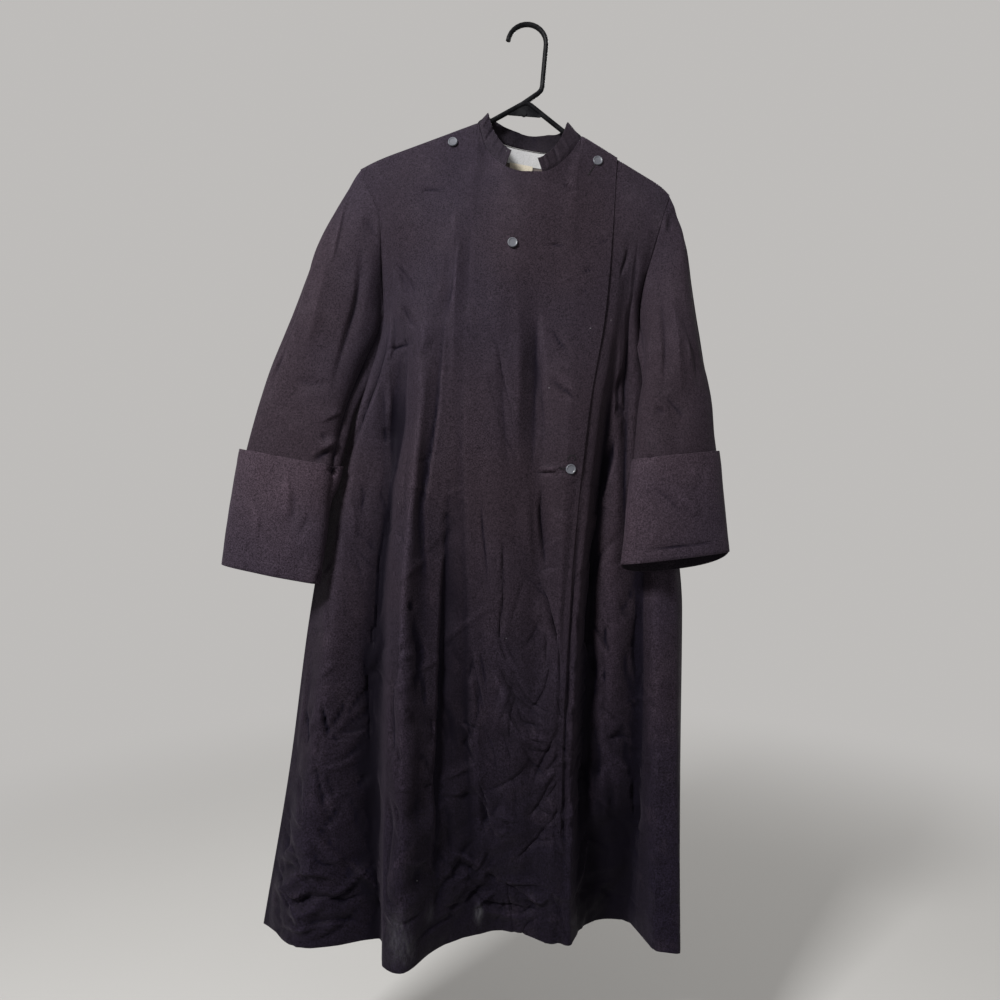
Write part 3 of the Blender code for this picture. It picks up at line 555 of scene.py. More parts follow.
# creases: height, width and the points (x, z) of each line, seen from the front, and
# after the width a lean of its own where it has one
frontCreases = {
    "both": (
        # over the shoulders and the chest
        (-0.9, 5, (-174, -276), (-151, -273), (-129, -278)),
        (-1, 5, (56, -258), (68, -272), (85, -277)),
        # at the bust and the armholes
        (-4.6, 6, 0.01, (-227, -371), (-224, -451), (-232, -522), (-250, -594), (-278, -673),
         (-300, -737)),
        (-1.6, 10, 0, (-226, -350), (-218, -420), (-219, -500)),
        (-3, 6, (-218, -450), (-217, -487), (-215, -524), (-223, -557)),
        (-1.5, 2.6, (-239, -532), (-214, -524), (-182, -519), (-174, -524)),
        (-0.7, 2.4, (-199, -511), (-199, -521)),
        (-1.4, 6, 0.2, (-211, -398), (-192, -435), (-180, -461)), (-1.1, 5, (-201, -456), (-187, -499)),
        (-1.8, 7, 0.2, (-220, -382), (-201, -403), (-183, -431), (-171, -459)),
        (-0.7, 2.4, (-192, -509), (-192, -520)), (-1.2, 5, (-199, -457), (-187, -485), (-171, -503)),
        (1.8, 14, 0, (-181, -488), (-162, -512), (-171, -546)),
        (-2.6, 10, 0.4, (-111, -340), (-114, -375), (-118, -421), (-125, -467), (-131, -504)),
        (2.6, 15, -0.2, (-114, -258), (-116, -358), (-116, -504), (-119, -631)),
        (-2.2, 12, 0.2, (-90, -277), (-94, -395), (-97, -513)),
        (-1.1, 5, (30, -489), (48, -522), (66, -549)), (-1, 4, (28, -367), (49, -366), (68, -368)),
        (-0.8, 4, (84, -443), (93, -438)), (-1.3, 4, (81, -411), (95, -407), (107, -402)),
        (-0.7, 6, (105, -361), (132, -354)),
        # from the waist to the hips
        (0.9, 8, (-281, -756), (-275, -802), (-276, -849)),
        (-1, 7, (-271, -725), (-262, -759), (-265, -805)),
        (-3, 13, 0, (-236, -548), (-229, -640), (-229, -740)), (-1.3, 7, (-231, -649), (-226, -682)),
        (-3.6, 8, (-215, -725), (-221, -771), (-230, -833), (-237, -879), (-234, -928)),
        (-2.4, 9, (-223, -557), (-215, -597), (-216, -664), (-215, -726), (-220, -771)),
        (-6.5, 22, -0.12, (-198, -430), (-199, -520), (-204, -640), (-218, -760)),
        (-0.7, 3, (-189, -626), (-190, -697), (-192, -757), (-196, -831), (-199, -905)),
        (-3.2, 10, 0.4, (-128, -461), (-136, -550), (-141, -609), (-150, -683), (-156, -727),
         (-164, -786), (-162, -845), (-153, -922)),
        (-1.4, 4, (-75, -750), (-71, -816), (-62, -916)),
        (-0.8, 6, (-75, -561), (-57, -597), (-48, -636)),
        (-0.8, 4, (-60, -492), (-48, -534), (-36, -591), (-27, -624), (-23, -666)),
        (-1.6, 10, 0.01, (-46, -506), (-39, -632), (-28, -759)),
        (-1, 5, (-36, -671), (-26, -689), (-15, -706)),
        (1.8, 16, 0.01, (-14, -425), (-16, -551), (-19, -705)),
        (1.8, 14, 0, (0, -741), (-3, -786), (0, -847), (9, -901)),
        (-2, 13, 0.2, (13, -425), (13, -533), (10, -632), (4, -759)),
        (-2, 12, 0.3, (14, -456), (15, -486), (15, -531), (19, -576), (24, -636), (24, -684), (23, -715)),
        (-5, 9, -0.5, (22, -734), (21, -756), (18, -786), (21, -832), (25, -862), (29, -892)),
        (-1.5, 2.6, (7, -728), (15, -725), (45, -725), (66, -728)),
        (1, 5, (10, -721), (33, -720), (57, -718)), (-1.1, 5, (24, -567), (54, -594), (88, -630)),
        (0.9, 7, (33, -564), (60, -588), (87, -618)),
        # over the thighs
        (2.2, 9, (-344, -974), (-357, -1062), (-363, -1137), (-373, -1208)),
        (-2.4, 4, 0.3, (-356, -1096), (-346, -1161)), (-1.2, 5.6, (-349, -1150), (-329, -1113)),
        (-3, 3.6, 0.2, (-324, -1084), (-318, -1110), (-309, -1140)),
        (1.3, 6.4, (-338, -1054), (-295, -1019)), (-2.2, 4.5, 0.3, (-318, -1096), (-313, -1154)),
        (-1.8, 4.5, (-279, -1066), (-303, -1117), (-329, -1146)),
        (-1.2, 6.4, (-294, -1131), (-263, -1105), (-250, -1088)),
        (-4.6, 4.8, 0.35, (-250, -991), (-258, -1017), (-253, -1052), (-249, -1083), (-248, -1127),
         (-248, -1171), (-251, -1199)),
        (-2, 4, (-235, -964), (-248, -978), (-243, -1008)),
        (-4.2, 4.8, -0.4, (-236, -864), (-238, -903), (-241, -965), (-251, -991)),
        (1.8, 4.8, (-231, -973), (-239, -1008), (-246, -1043)),
        (-2.4, 4.8, 0.3, (-196, -900), (-198, -963), (-200, -1025), (-207, -1067), (-207, -1150),
         (-211, -1200)),
        (-2.4, 3.2, (-195, -987), (-191, -1002)), (2.2, 4, (-202, -1064), (-187, -1083), (-174, -1108)),
        (-2.2, 3.2, (-175, -919), (-179, -928), (-175, -941)),
        (-2.2, 5.6, -0.2, (-179, -926), (-171, -982), (-166, -1003), (-169, -1027), (-174, -1052),
         (-170, -1089)),
        (-2.4, 3.2, (-165, -989), (-169, -1003)),
        (-1.8, 4, (-170, -1015), (-163, -1056), (-160, -1095)),
        (-1.6, 4.8, (-154, -1089), (-148, -1122), (-154, -1155)),
        (-8.5, 12, -0.34, (-122, -700), (-130, -900), (-136, -1100), (-140, -1300), (-140, -1480)),
        (-1.2, 5.6, (-133, -979), (-128, -1044), (-133, -1104)),
        (-1.2, 6.4, (-133, -1104), (-125, -1139), (-127, -1164)),
        (-2, 4.5, 0.3, (-132, -1077), (-117, -1124), (-113, -1172)),
        (-1.6, 5.6, (-90, -1121), (-94, -1143), (-107, -1164)),
        (1.6, 6.4, (-114, -1104), (-94, -1139), (-76, -1186)),
        (-1.8, 4, (-89, -1017), (-91, -1035), (-94, -1058)),
        (-2, 4.5, (-88, -1038), (-78, -1097), (-92, -1154)),
        (-1.8, 4.5, 0.3, (-94, -991), (-80, -1050), (-64, -1114)),
        (-1.4, 4.8, (-78, -1000), (-68, -1052), (-62, -1075)),
        (1.8, 6.4, (-57, -1035), (-40, -1069), (-27, -1103)),
        (-2.4, 4, (-41, -914), (-45, -981), (-36, -1005)),
        (-1.4, 4, (-42, -862), (-40, -914), (-38, -948), (-29, -971)),
        (-1.4, 6, (-41, -813), (-39, -877), (-29, -925)),
        (-1.4, 4, (-51, -987), (-36, -1013), (-20, -1031)),
        (-2.8, 4, (-51, -1018), (-36, -1047), (-20, -1096)),
        (-1.8, 4.8, (-36, -987), (-19, -1026), (-7, -1040)),
        (-2, 4, (-32, -1103), (-16, -1131), (-7, -1148)),
        (-1.8, 5.6, 0.3, (-45, -1026), (-21, -1060), (3, -1090), (24, -1097)),
        (-2.8, 4.5, 0.3, (-55, -1019), (-17, -1077), (45, -1129)),
        (2, 6, 0.3, (-47, -1082), (-13, -1138), (38, -1163)),
        (-1.5, 5.6, (-21, -1091), (-6, -1117), (29, -1127)),
        (1.6, 6.4, (-25, -1121), (7, -1143), (46, -1145)),
        (-2.2, 4.5, (-27, -1030), (6, -1086), (50, -1107)),
        (-2, 4.5, (38, -1003), (25, -1066), (-6, -1116)), (-1.2, 3, (14, -898), (24, -901)),
        (2, 12, 0, (15, -914), (20, -961), (29, -1004)),
        (-2.6, 5, 0.3, (16, -886), (36, -944), (48, -1006)),
        (-3.4, 4.8, 0.4, (27, -897), (33, -940), (42, -974), (49, -1013), (51, -1078)),
        (-1.4, 8, 0.01, (84, -640), (56, -950), (45, -1200), (42, -1440)),
        # at the knees
        (-2.2, 4.5, 0.3, (-363, -1199), (-354, -1248), (-341, -1282)),
        (1.3, 9, (-352, -1209), (-348, -1252), (-351, -1289)),
        (-1.3, 6.4, (-350, -1203), (-320, -1184)),
        (-2.6, 4.5, 0.3, (-341, -1163), (-323, -1219), (-309, -1277)),
        (-2, 4.5, (-286, -1230), (-310, -1269), (-341, -1303)), (1.1, 4, (-322, -1279), (-301, -1282)),
        (-1.6, 4.4, (-315, -1190), (-311, -1216), (-305, -1238)),
        (-1.1, 6.4, (-293, -1216), (-275, -1251), (-267, -1294)),
        (-1, 9, (-297, -1182), (-271, -1160), (-252, -1143)),
        (-1.9, 4.8, (-250, -1198), (-261, -1209), (-272, -1228)),
        (1.1, 9, (-263, -1251), (-254, -1285), (-255, -1320)),
        (-1.8, 3.6, (-241, -1191), (-239, -1226), (-240, -1261)),
        (-2.9, 5.6, (-214, -1198), (-216, -1265), (-216, -1333), (-216, -1393)),
        (-1.6, 3.6, (-205, -1216), (-201, -1234), (-193, -1257)),
        (-2, 4.8, (-202, -1123), (-196, -1157), (-197, -1190)),
        (1.4, 4.8, (-207, -1253), (-187, -1274), (-179, -1296)), (1, 4.8, (-199, -1195), (-170, -1204)),
        (-1.6, 9, -0.2, (-170, -1087), (-169, -1144), (-170, -1206), (-170, -1288), (-170, -1349)),
        (-1.1, 4, (-161, -1203), (-144, -1206)),
        (-2, 4.5, 0.3, (-132, -1224), (-119, -1284), (-122, -1334)),
        (-1.3, 6.4, (-142, -1230), (-107, -1235), (-73, -1230)),
        (1.2, 5.6, (-138, -1209), (-108, -1196), (-73, -1185)),
        (4.6, 19, 0.01, (-86, -960), (-80, -1120), (-74, -1300), (-68, -1490)),
        (-2.2, 5, 0.3, (-94, -1212), (-75, -1241), (-55, -1299)),
        (-2, 4.5, 0.3, (-80, -1203), (-61, -1259)),
        (-2.6, 10, 0.2, (-65, -1236), (-66, -1265), (-79, -1309)),
        (1.2, 10, 0, (-40, -1208), (-38, -1252), (-45, -1286)), (1.4, 4, (-51, -1298), (-29, -1285)),
        (-1.8, 4.8, (-55, -1121), (-36, -1148), (-25, -1193)),
        (-1.4, 9, (-24, -1200), (-19, -1252), (-20, -1295)),
        (-1.8, 4.5, 0.3, (-13, -1147), (12, -1188), (44, -1216)),
        (-1.4, 5.6, (-8, -1160), (20, -1164), (48, -1147)),
        (-2.2, 4.5, (46, -1185), (21, -1240), (-6, -1281)),
        (-2.4, 5, (50, -1117), (21, -1183), (2, -1232)),
        (1.8, 6.4, (12, -1230), (30, -1208), (48, -1185)),
        (-2, 4.8, (25, -1201), (38, -1183), (51, -1161)),
        (-1.6, 4.8, (27, -1287), (39, -1270), (50, -1244)),
        (-2.2, 4.8, (27, -1244), (40, -1222), (51, -1204)),
        # near the hem
        (1.6, 5.6, (-402, -1390), (-408, -1422)),
        (-2.9, 4, (-393, -1379), (-381, -1395), (-369, -1410)),
        (2.1, 4.8, 0.3, (-397, -1342), (-384, -1331), (-370, -1316), (-355, -1328)),
        (2.2, 6, (-406, -1361), (-372, -1390), (-337, -1432)),
        (-1.8, 5.6, (-388, -1359), (-371, -1341), (-349, -1341)),
        (-1.6, 4.8, (-370, -1412), (-361, -1428)),
        (2.4, 6, (-403, -1400), (-362, -1361), (-322, -1327)),
        (2.7, 5.6, (-331, -1356), (-360, -1384), (-386, -1377)),
        (-2.7, 4.8, (-369, -1410), (-352, -1389), (-331, -1372)),
        (1.9, 6.4, (-382, -1437), (-352, -1429), (-317, -1420)),
        (-2.2, 4.5, 0.3, (-372, -1297), (-352, -1341), (-322, -1377)),
        (2.6, 6.4, (-348, -1286), (-339, -1318), (-329, -1361)),
        (2.4, 4.8, (-365, -1416), (-330, -1397), (-317, -1384)),
        (2.6, 8, (-388, -1370), (-340, -1342), (-274, -1370)),
        (-2.6, 5, -0.3, (-391, -1410), (-321, -1381), (-265, -1407)),
        (-1.9, 4, (-334, -1309), (-321, -1331), (-292, -1337)),
        (-2.4, 5, -0.3, (-379, -1431), (-309, -1418), (-243, -1438)),
        (2, 6, (-338, -1272), (-310, -1316), (-271, -1344)),
        (-1.4, 5.6, (-322, -1275), (-305, -1309), (-283, -1327)),
        (-1.9, 5.6, (-356, -1450), (-317, -1442), (-287, -1425), (-262, -1404), (-240, -1387)),
        (-2.7, 4.8, (-321, -1394), (-287, -1382), (-251, -1358)),
        (-2.1, 4, (-312, -1397), (-283, -1391), (-252, -1383)),
        (2.2, 6.4, -0.25, (-318, -1387), (-283, -1371), (-257, -1347), (-238, -1317)),
        (2.6, 7, (-284, -1331), (-245, -1370), (-226, -1407)), (1.6, 4, (-215, -1382), (-204, -1403)),
        (-1.3, 4, (-209, -1391), (-187, -1397), (-154, -1388)),
        (1, 5.6, (-187, -1302), (-166, -1318), (-150, -1314)),
        (-1.1, 5.6, (-138, -1352), (-116, -1361), (-95, -1356)),
        (-1.6, 4.8, (-138, -1398), (-116, -1406), (-95, -1400)),
        (1.6, 5.6, (-123, -1378), (-105, -1364), (-84, -1359)),
        (2.2, 4.8, 0.3, (-123, -1317), (-97, -1337), (-75, -1353)),
        (-2.2, 4.5, -0.3, (-119, -1364), (-94, -1317), (-75, -1299)),
        (-2, 6.4, (-118, -1334), (-92, -1353), (-75, -1368)),
        (-3.2, 4.8, (-105, -1413), (-84, -1392), (-64, -1377)),
        (-1.8, 4.5, (-56, -1312), (-78, -1353), (-110, -1386)),
        (2.8, 5.6, (-97, -1425), (-66, -1403), (-40, -1392)), (-1.8, 4.8, (-71, -1359), (-44, -1378)),
        (-2.2, 5, (-104, -1377), (-55, -1415), (30, -1424)),
        (2, 7, 0.3, (-94, -1386), (-64, -1424), (-17, -1435), (37, -1415)),
        (-1.8, 5.6, (-64, -1377), (-36, -1382), (-1, -1401), (17, -1408)),
        (2, 6, (-55, -1396), (-17, -1377), (41, -1377)),
        (-2, 4.5, (41, -1263), (8, -1312), (-34, -1351)),
        (-1.8, 5.6, (25, -1425), (8, -1413), (-18, -1407)),
        (1.2, 4.8, (7, -1310), (20, -1300), (30, -1310)),
        (2.6, 5.6, (-21, -1389), (21, -1406), (37, -1386), (47, -1370)),
    ),
    "under": (
        # at the bust and the armholes
        (-1.6, 5, (162, -359), (157, -382), (150, -406), (148, -422)),
        (-3.4, 6, 0.01, (177, -328), (172, -420), (162, -521), (155, -630), (151, -704)),
        (-2, 4, (178, -379), (176, -402), (175, -437), (174, -461)),
        # from the waist to the hips
        (2.4, 5, (111, -791), (105, -804), (103, -822)),
        (-4, 6, 0.2, (140, -652), (136, -689), (128, -725), (121, -756), (114, -787)),
        (2, 12, 0.01, (151, -466), (142, -594), (136, -704)),
        (-2, 5, (140, -633), (149, -621), (147, -645)),
        (-3, 7, (160, -547), (150, -572), (144, -597), (143, -621), (140, -652)),
        (-4, 12, 0.2, (175, -420), (168, -530), (161, -631), (157, -759), (164, -877)),
        # over the thighs
        (-2.4, 4.5, 0.01, (97, -650), (69, -950), (58, -1200), (55, -1466)),
        (1, 5.6, (62, -1079), (75, -1092), (85, -1088)),
        (-0.9, 4.8, (64, -1119), (81, -1105), (91, -1091)), (-1.3, 4.5, -0.3, (60, -1117), (98, -1079)),
        (-1.3, 4.5, -0.3, (69, -1050), (93, -992)), (1.1, 4.8, (86, -946), (91, -971), (85, -1006)),
        (-1.2, 4, (81, -1015), (93, -993), (96, -979)),
        (-5, 9, (107, -866), (99, -946), (95, -983), (103, -1018), (107, -1058), (103, -1098),
         (99, -1134)),
        (-4, 7, (109, -812), (106, -849), (103, -895), (102, -929)),
        (0.8, 4.8, (116, -1107), (125, -1142), (120, -1178)),
        (-0.8, 4.8, (118, -954), (125, -990), (121, -1043)),
        (-1.3, 4.5, (133, -989), (120, -1068), (127, -1151)),
        (-1.3, 4.5, 0.3, (157, -993), (168, -1089)),
        (-1.1, 4, (165, -1119), (172, -1151), (171, -1178)),
        (-0.7, 4.8, (164, -1011), (173, -998), (181, -993)),
        (-0.9, 4, (160, -1092), (178, -1105), (188, -1115)),
        (-4, 5.6, 0.2, (182, -896), (182, -954), (179, -1011), (182, -1051), (186, -1095)),
        (-1.1, 4.5, 0.3, (193, -1068), (205, -1131), (200, -1194)),
        (-0.7, 5.6, (213, -1055), (226, -1081), (239, -1099)),
        (-0.7, 4.8, (226, -981), (239, -995), (245, -1004)),
        # at the knees
        (0.9, 4.8, (57, -1298), (68, -1267), (80, -1250)),
        (-1, 4.8, (60, -1255), (75, -1232), (85, -1211)), (-1.2, 4.5, -0.3, (60, -1214), (93, -1171)),
        (-1.2, 4.5, -0.3, (62, -1290), (92, -1242)), (1.1, 4.8, (64, -1167), (78, -1162), (89, -1140)),
        (-1.2, 4.8, (67, -1211), (80, -1185), (86, -1165)), (-1.3, 4.5, -0.3, (60, -1175), (98, -1131)),
        (-5, 10, 0, (99, -1136), (97, -1181), (91, -1226), (86, -1271), (78, -1316), (75, -1361)),
        (-1.4, 5, 0.3, (108, -1119), (118, -1187), (113, -1255)),
        (-0.9, 4, (112, -1251), (119, -1271), (119, -1314)),
        (-0.9, 4, (118, -1169), (125, -1197), (138, -1206)),
        (-1.2, 4.5, 0.3, (127, -1179), (139, -1261), (131, -1334)),
        (-0.8, 4, (130, -1246), (139, -1269), (144, -1288)),
        (0.9, 4, (138, -1178), (153, -1197), (171, -1215)),
        (-1.6, 5, (148, -1090), (157, -1168), (176, -1255), (181, -1340)),
        (-3.8, 5.6, (169, -1220), (175, -1252), (182, -1297), (184, -1342)),
        (-4.4, 5.6, 0.2, (187, -1097), (192, -1142), (192, -1195), (189, -1244), (187, -1289),
         (187, -1356), (187, -1418)),
        (-0.8, 4.8, (191, -1194), (200, -1224)), (-0.8, 4.8, (194, -1232), (211, -1279), (214, -1302)),
        (-1.1, 4.5, (230, -1147), (215, -1210), (196, -1251)), (0.8, 4.8, (219, -1297), (229, -1286)),
        # near the hem
        (4.2, 4.8, 0.2, (61, -1415), (79, -1394), (89, -1362), (93, -1332), (110, -1306), (121, -1296)),
        (0.9, 5.6, (127, -1323), (127, -1363), (130, -1399)),
        (-0.9, 4.8, (145, -1290), (163, -1308), (176, -1344), (185, -1377)),
        (0.8, 5.6, (188, -1279), (196, -1318), (207, -1349)),
        (-0.9, 4.8, (189, -1359), (206, -1372), (223, -1380)),
        (1.1, 6, (186, -1352), (208, -1399), (237, -1423)),
        (-1.2, 4.5, (234, -1289), (208, -1367), (200, -1446)), (0.8, 4.8, (206, -1429), (225, -1441)),
        (1.2, 7, (200, -1273), (221, -1336), (234, -1399)), (0.8, 4.8, (214, -1371), (225, -1364)),
        (-0.9, 4, (216, -1405), (238, -1400)),
    ),
}
backCreases = (
    (-3.2, 9, 0.3, (-205, -420), (-214, -560), (-222, -700), (-238, -860), (-244, -1020)),
    (-2.4, 8, -0.2, (-244, -1020), (-252, -1150), (-246, -1290)),
    (2.6, 12, 0, (-176, -520), (-184, -700), (-205, -900), (-214, -1120), (-222, -1330)),
    (-2.8, 8, 0.2, (-120, -300), (-126, -460), (-133, -640), (-150, -860)),
    (-2.2, 7, 0, (-158, -900), (-170, -1040), (-176, -1210), (-168, -1380)),
    (2.0, 12, 0, (-92, -640), (-104, -820), (-112, -1010)),
    (-2.6, 8, -0.2, (-40, -520), (-46, -700), (-60, -900), (-70, -1090), (-66, -1290)),
    (1.8, 11, 0, (-8, -600), (-14, -800), (-22, -1000), (-24, -1180)),
    (-3.0, 9, 0.2, (44, -360), (38, -520), (32, -700), (22, -880)),
    (-2.0, 8, 0, (30, -930), (24, -1060), (28, -1230), (20, -1400)),
    (2.2, 11, 0, (70, -700), (72, -900), (70, -1100), (76, -1300)),
    (-3.4, 8, 0.3, (128, -300), (112, -440), (104, -600), (110, -760)),
    (-3.0, 8, -0.2, (116, -800), (120, -980), (116, -1160), (122, -1350)),
    (2.4, 10, 0, (166, -620), (180, -800), (184, -1000)),
    (-2.6, 8, 0.2, (158, -460), (160, -600), (170, -760)),
    (-2.4, 7, 0, (196, -880), (200, -1040), (196, -1220), (204, -1390)),
    (-1.5, 6, 0, (-180, -330), (-120, -372), (-70, -380)),
    (-1.3, 6, 0, (150, -330), (110, -362), (70, -372)),
    (-1.2, 6, 0, (-226, -452), (-190, -500), (-160, -560)),
    (-1.3, 6, 0, (176, -455), (140, -500), (112, -560)),
    (-1.4, 7, 0, (-150, -690), (-96, -712), (-40, -702)),
    (1.2, 8, 0, (-120, -668), (-70, -684), (-52, -676)),
    (-1.2, 6, 0, (60, -742), (110, -728), (150, -744)),
    (-1.8, 6, 0, (-300, -1010), (-262, -1050), (-236, -1110)),
    (3.0, 8, 0.3, (-330, -1330), (-290, -1362), (-262, -1350)),
    (-2.8, 6, 0, (-340, -1290), (-300, -1330), (-250, -1322)),
    (2.6, 7, 0, (-170, -1290), (-150, -1340), (-112, -1352)),
    (-2.4, 6, 0, (-200, -1240), (-160, -1262), (-118, -1308)),
    (-3.0, 6, 0, (-100, -1385), (-50, -1352), (-14, -1362)),
    (2.4, 8, -0.2, (-90, -1340), (-40, -1320), (4, -1342)),
    (2.8, 7, 0, (40, -1260), (70, -1300), (110, -1310)),
    (-2.6, 6, 0, (46, -1322), (92, -1350), (140, -1338)),
    (-2.2, 6, 0, (150, -1230), (180, -1270), (222, -1280)),
    (2.2, 7, 0, (140, -1400), (190, -1384), (226, -1396)),
    (-2.0, 7, 0, (-40, -1120), (0, -1160), (30, -1150)),
    (1.8, 8, 0, (-130, -1130), (-90, -1160), (-60, -1140)),
    (-1.8, 6, 0, (170, -1060), (210, -1090), (236, -1080)),
    (-2.0, 6, 0, (-250, -1180), (-220, -1210), (-180, -1196)),
)
crumpleSettings = {
    "seed": 11,
    "backSeed": 31,
    "start": (-560.0, -1150.0),   # the skirt is smooth above the first, fully creased below the second
    "from": (-440.0, 260.0, -1480.0),      # left, right and bottom of the creased cloth
    "patch": 120.0,               # size of the patches in which one direction is creased
    "straying": 13.0,             # degrees by which a crease strays from its family's direction
    "bend": 0.07,                 # how far its middle strays, as a share of its length
    "lengths": (0.5, 1.5),        # shares of the family's own length, height and width
    "heights": (0.45, 1.3),
    "widths": (0.6, 1.5),
    "leans": (-0.35, 0.3, 0.35, 0.4),
    "leastHeight": 0.12,
    # direction in degrees from the horizontal, number, length, width and height of each family
    "families": (
        (78.0, 60, 95.0, 4.6, -1.3),
        (-74.0, 60, 90.0, 4.6, -1.3),
        (58.0, 44, 80.0, 5.2, -1.2),
        (-56.0, 44, 76.0, 5.2, -1.2),
        (33.0, 30, 66.0, 5.8, 1.1),
        (-32.0, 30, 66.0, 5.8, 1.1),
        (8.0, 24, 52.0, 5.0, -1.0),
    ),
}


def crumple(settings, seedName):
    # rows of short straight creases in families of one direction: evenly random places,
    # kept where the family's own smooth noise is high, deeper towards the hem
    seed = settings[seedName]
    random = np.random.default_rng(seed)
    left, right, bottom = settings["from"]
    high, full = settings["start"]
    rows = []
    for number, (degrees, count, length, width, height) in enumerate(settings["families"]):
        place = random.uniform((left, bottom), (right, high), (count * 2, 2))
        patch = smoothNoise(place[:, 0], place[:, 1], settings["patch"], seed + 10 + number)
        place = place[np.argsort(-patch)[:count]]
        angle = np.radians(degrees + settings["straying"] * random.normal(size=count))
        way = np.stack([np.cos(angle), np.sin(angle)], axis=-1)
        aside = np.stack([-way[:, 1], way[:, 0]], axis=-1)
        long = length * random.uniform(*settings["lengths"], count)[:, None]
        middle = place + aside * long * settings["bend"] * random.normal(size=(count, 1))
        growing = easeStep((high - place[:, 1]) / (high - full))
        deep = height * random.uniform(*settings["heights"], count) * growing
        wide = width * random.uniform(*settings["widths"], count)
        lean = -np.sign(way[:, 1] + way[:, 0]) * np.sign(height) * random.choice(settings["leans"], count)
        start, end = place - way * long / 2, place + way * long / 2
        rows += [(deep[k], wide[k], lean[k], start[k], middle[k], end[k])
                 for k in range(count) if abs(deep[k]) > settings["leastHeight"]]
    return rows


crumpledCloth = {
    # slope in degrees, length, breadth and height of the facets
    "low": ((66, 130, 36, 3.9), (-62, 110, 30, 3.3), (32, 84, 24, 2.3)),
    "high": ((72, 170, 52, 1.3), (-58, 140, 44, 1.1)),
    "between": (-860.0, -1330.0),       # heights over which the low facets come up
    "upper": 0.8,                       # share of the high facets
    "sleeve": ((62, 120, 36, 1.4), (-64, 110, 40, 1.3)),
    "seeds": {"front": 211, "back": 331, "right": 451, "left": 571},
}


def clothFacets(x, z, side):
    # small facets everywhere, and deep ones that grow towards the hem
    cloth = crumpledCloth
    if side in ("right", "left"):
        return facetHeight(x, z, cloth["sleeve"], cloth["seeds"][side])
    top, bottom = cloth["between"]
    low = easeStep((top - z) / (top - bottom))
    return (facetHeight(x, z, cloth["low"], cloth["seeds"][side]) * low
            + facetHeight(x, z, cloth["high"], cloth["seeds"][side] + 50) * cloth["upper"] * (1 - low))


def lineAt(row, z):
    # where (x, y) a fold line lies at the heights z
    knots = -np.array([row[1][2], *bodyCut["levels"], row[4]])
    values = np.stack([[row[1][0], *row[2]], [row[1][1], *row[3]]], axis=-1)
    return curveThrough(knots, values, -z.ravel()).reshape(*z.shape, 2)


def frontRelief(body, normals, seams):
    # creases and facets added up, and beyond the closing edge the underlap's own creases
    points = body["points"]
    x, z = points[..., 0], points[..., 2]
    before, over = bodyCut["underStart"]
    closing = bodyCut["front"][lineNumber("closing", bodyCut["front"])]
    edge = lineAt(closing, np.clip(z, closing[4], closing[1][2]))[..., 0]
    beyond = easeStep((x - edge + before) / over)
    both = frontCreases["both"] + tuple(crumple(crumpleSettings, "seed"))
    height = creaseHeight(x, z, both) + beyond * creaseHeight(x, z, frontCreases["under"])
    least, over = bodyCut["steepWall"]
    flatter = easeStep((np.abs(normals[..., 1]) - least) / over)
    return (height + clothFacets(x, z, "front")) * flatter * seamFade(body, seams)


def makeFronts():
    # one base surface for both fronts; the overlap is lifted off it along its normals
    lines = bodyCut["front"]
    closing = lineNumber("closing", lines)
    slope = lineNumber("slopeRight", lines)
    endRight = lineNumber("endRight", lines)

    def hemRise(fold):
        # the overlap's hem comes up towards its closing edge
        return bodyCut["overlapHemRise"] * easeStep((fold - endRight) / (closing - endRight))

    made = {}
    for name, first, last, rise in (("overlapFront", 0, closing, hemRise),
                                    ("underlapFront", lineNumber("centre", lines), None, None)):
        body = bodyGrid(lines, -1, bodyCut["spacing"], first, last, rise)
        seams = ((0, -1.0),) if name == "overlapFront" else ((-1, 1.0),)
        body["points"][seams[0][0], :, 1] -= bodyCut["seamGap"] / 2
        normals = bodyNormals(body, seams)
        body["points"] = body["points"] + normals * frontRelief(body, normals, seams)[..., None]
        normals = bodyNormals(body, seams)
        lift = 0.0
        if name == "overlapFront":
            rising = easeStep((body["fold"] - slope) / bodyCut["liftOver"])[:, None, None]
            lift = rising * bodyCut["overlapLift"]
        outer = body["points"] + normals * lift
        inner = outer - normals * bodyCut["wall"]
        made[name] = clothShell(name, outer, inner)
        made[name + "Grid"] = (outer, normals)
    return made


def makeBack():
    # the back's surface with its own creases, moved out along its normals
    body = bodyGrid(bodyCut["back"], 1, bodyCut["backSpacing"])
    seams = ((0, -1.0), (-1, 1.0))
    for column, _ in seams:
        body["points"][column, :, 1] += bodyCut["seamGap"] / 2
    normals = bodyNormals(body, seams)
    x, z = body["points"][..., 0], body["points"][..., 2]
    height = creaseHeight(x, z, backCreases + tuple(crumple(crumpleSettings, "backSeed")))
    height = (height + clothFacets(x, z, "back")) * seamFade(body, seams)
    body["points"] = body["points"] + normals * height[..., None]
    normals = bodyNormals(body, seams)
    inner = body["points"] - normals * bodyCut["wall"]
    return {"back": clothShell("backPanel", body["points"], inner), "inner": inner, "normals": normals,
            "fold": body["fold"]}


print("cassock: fronts")
fronts = makeFronts()
print("cassock: back")
backPart = makeBack()


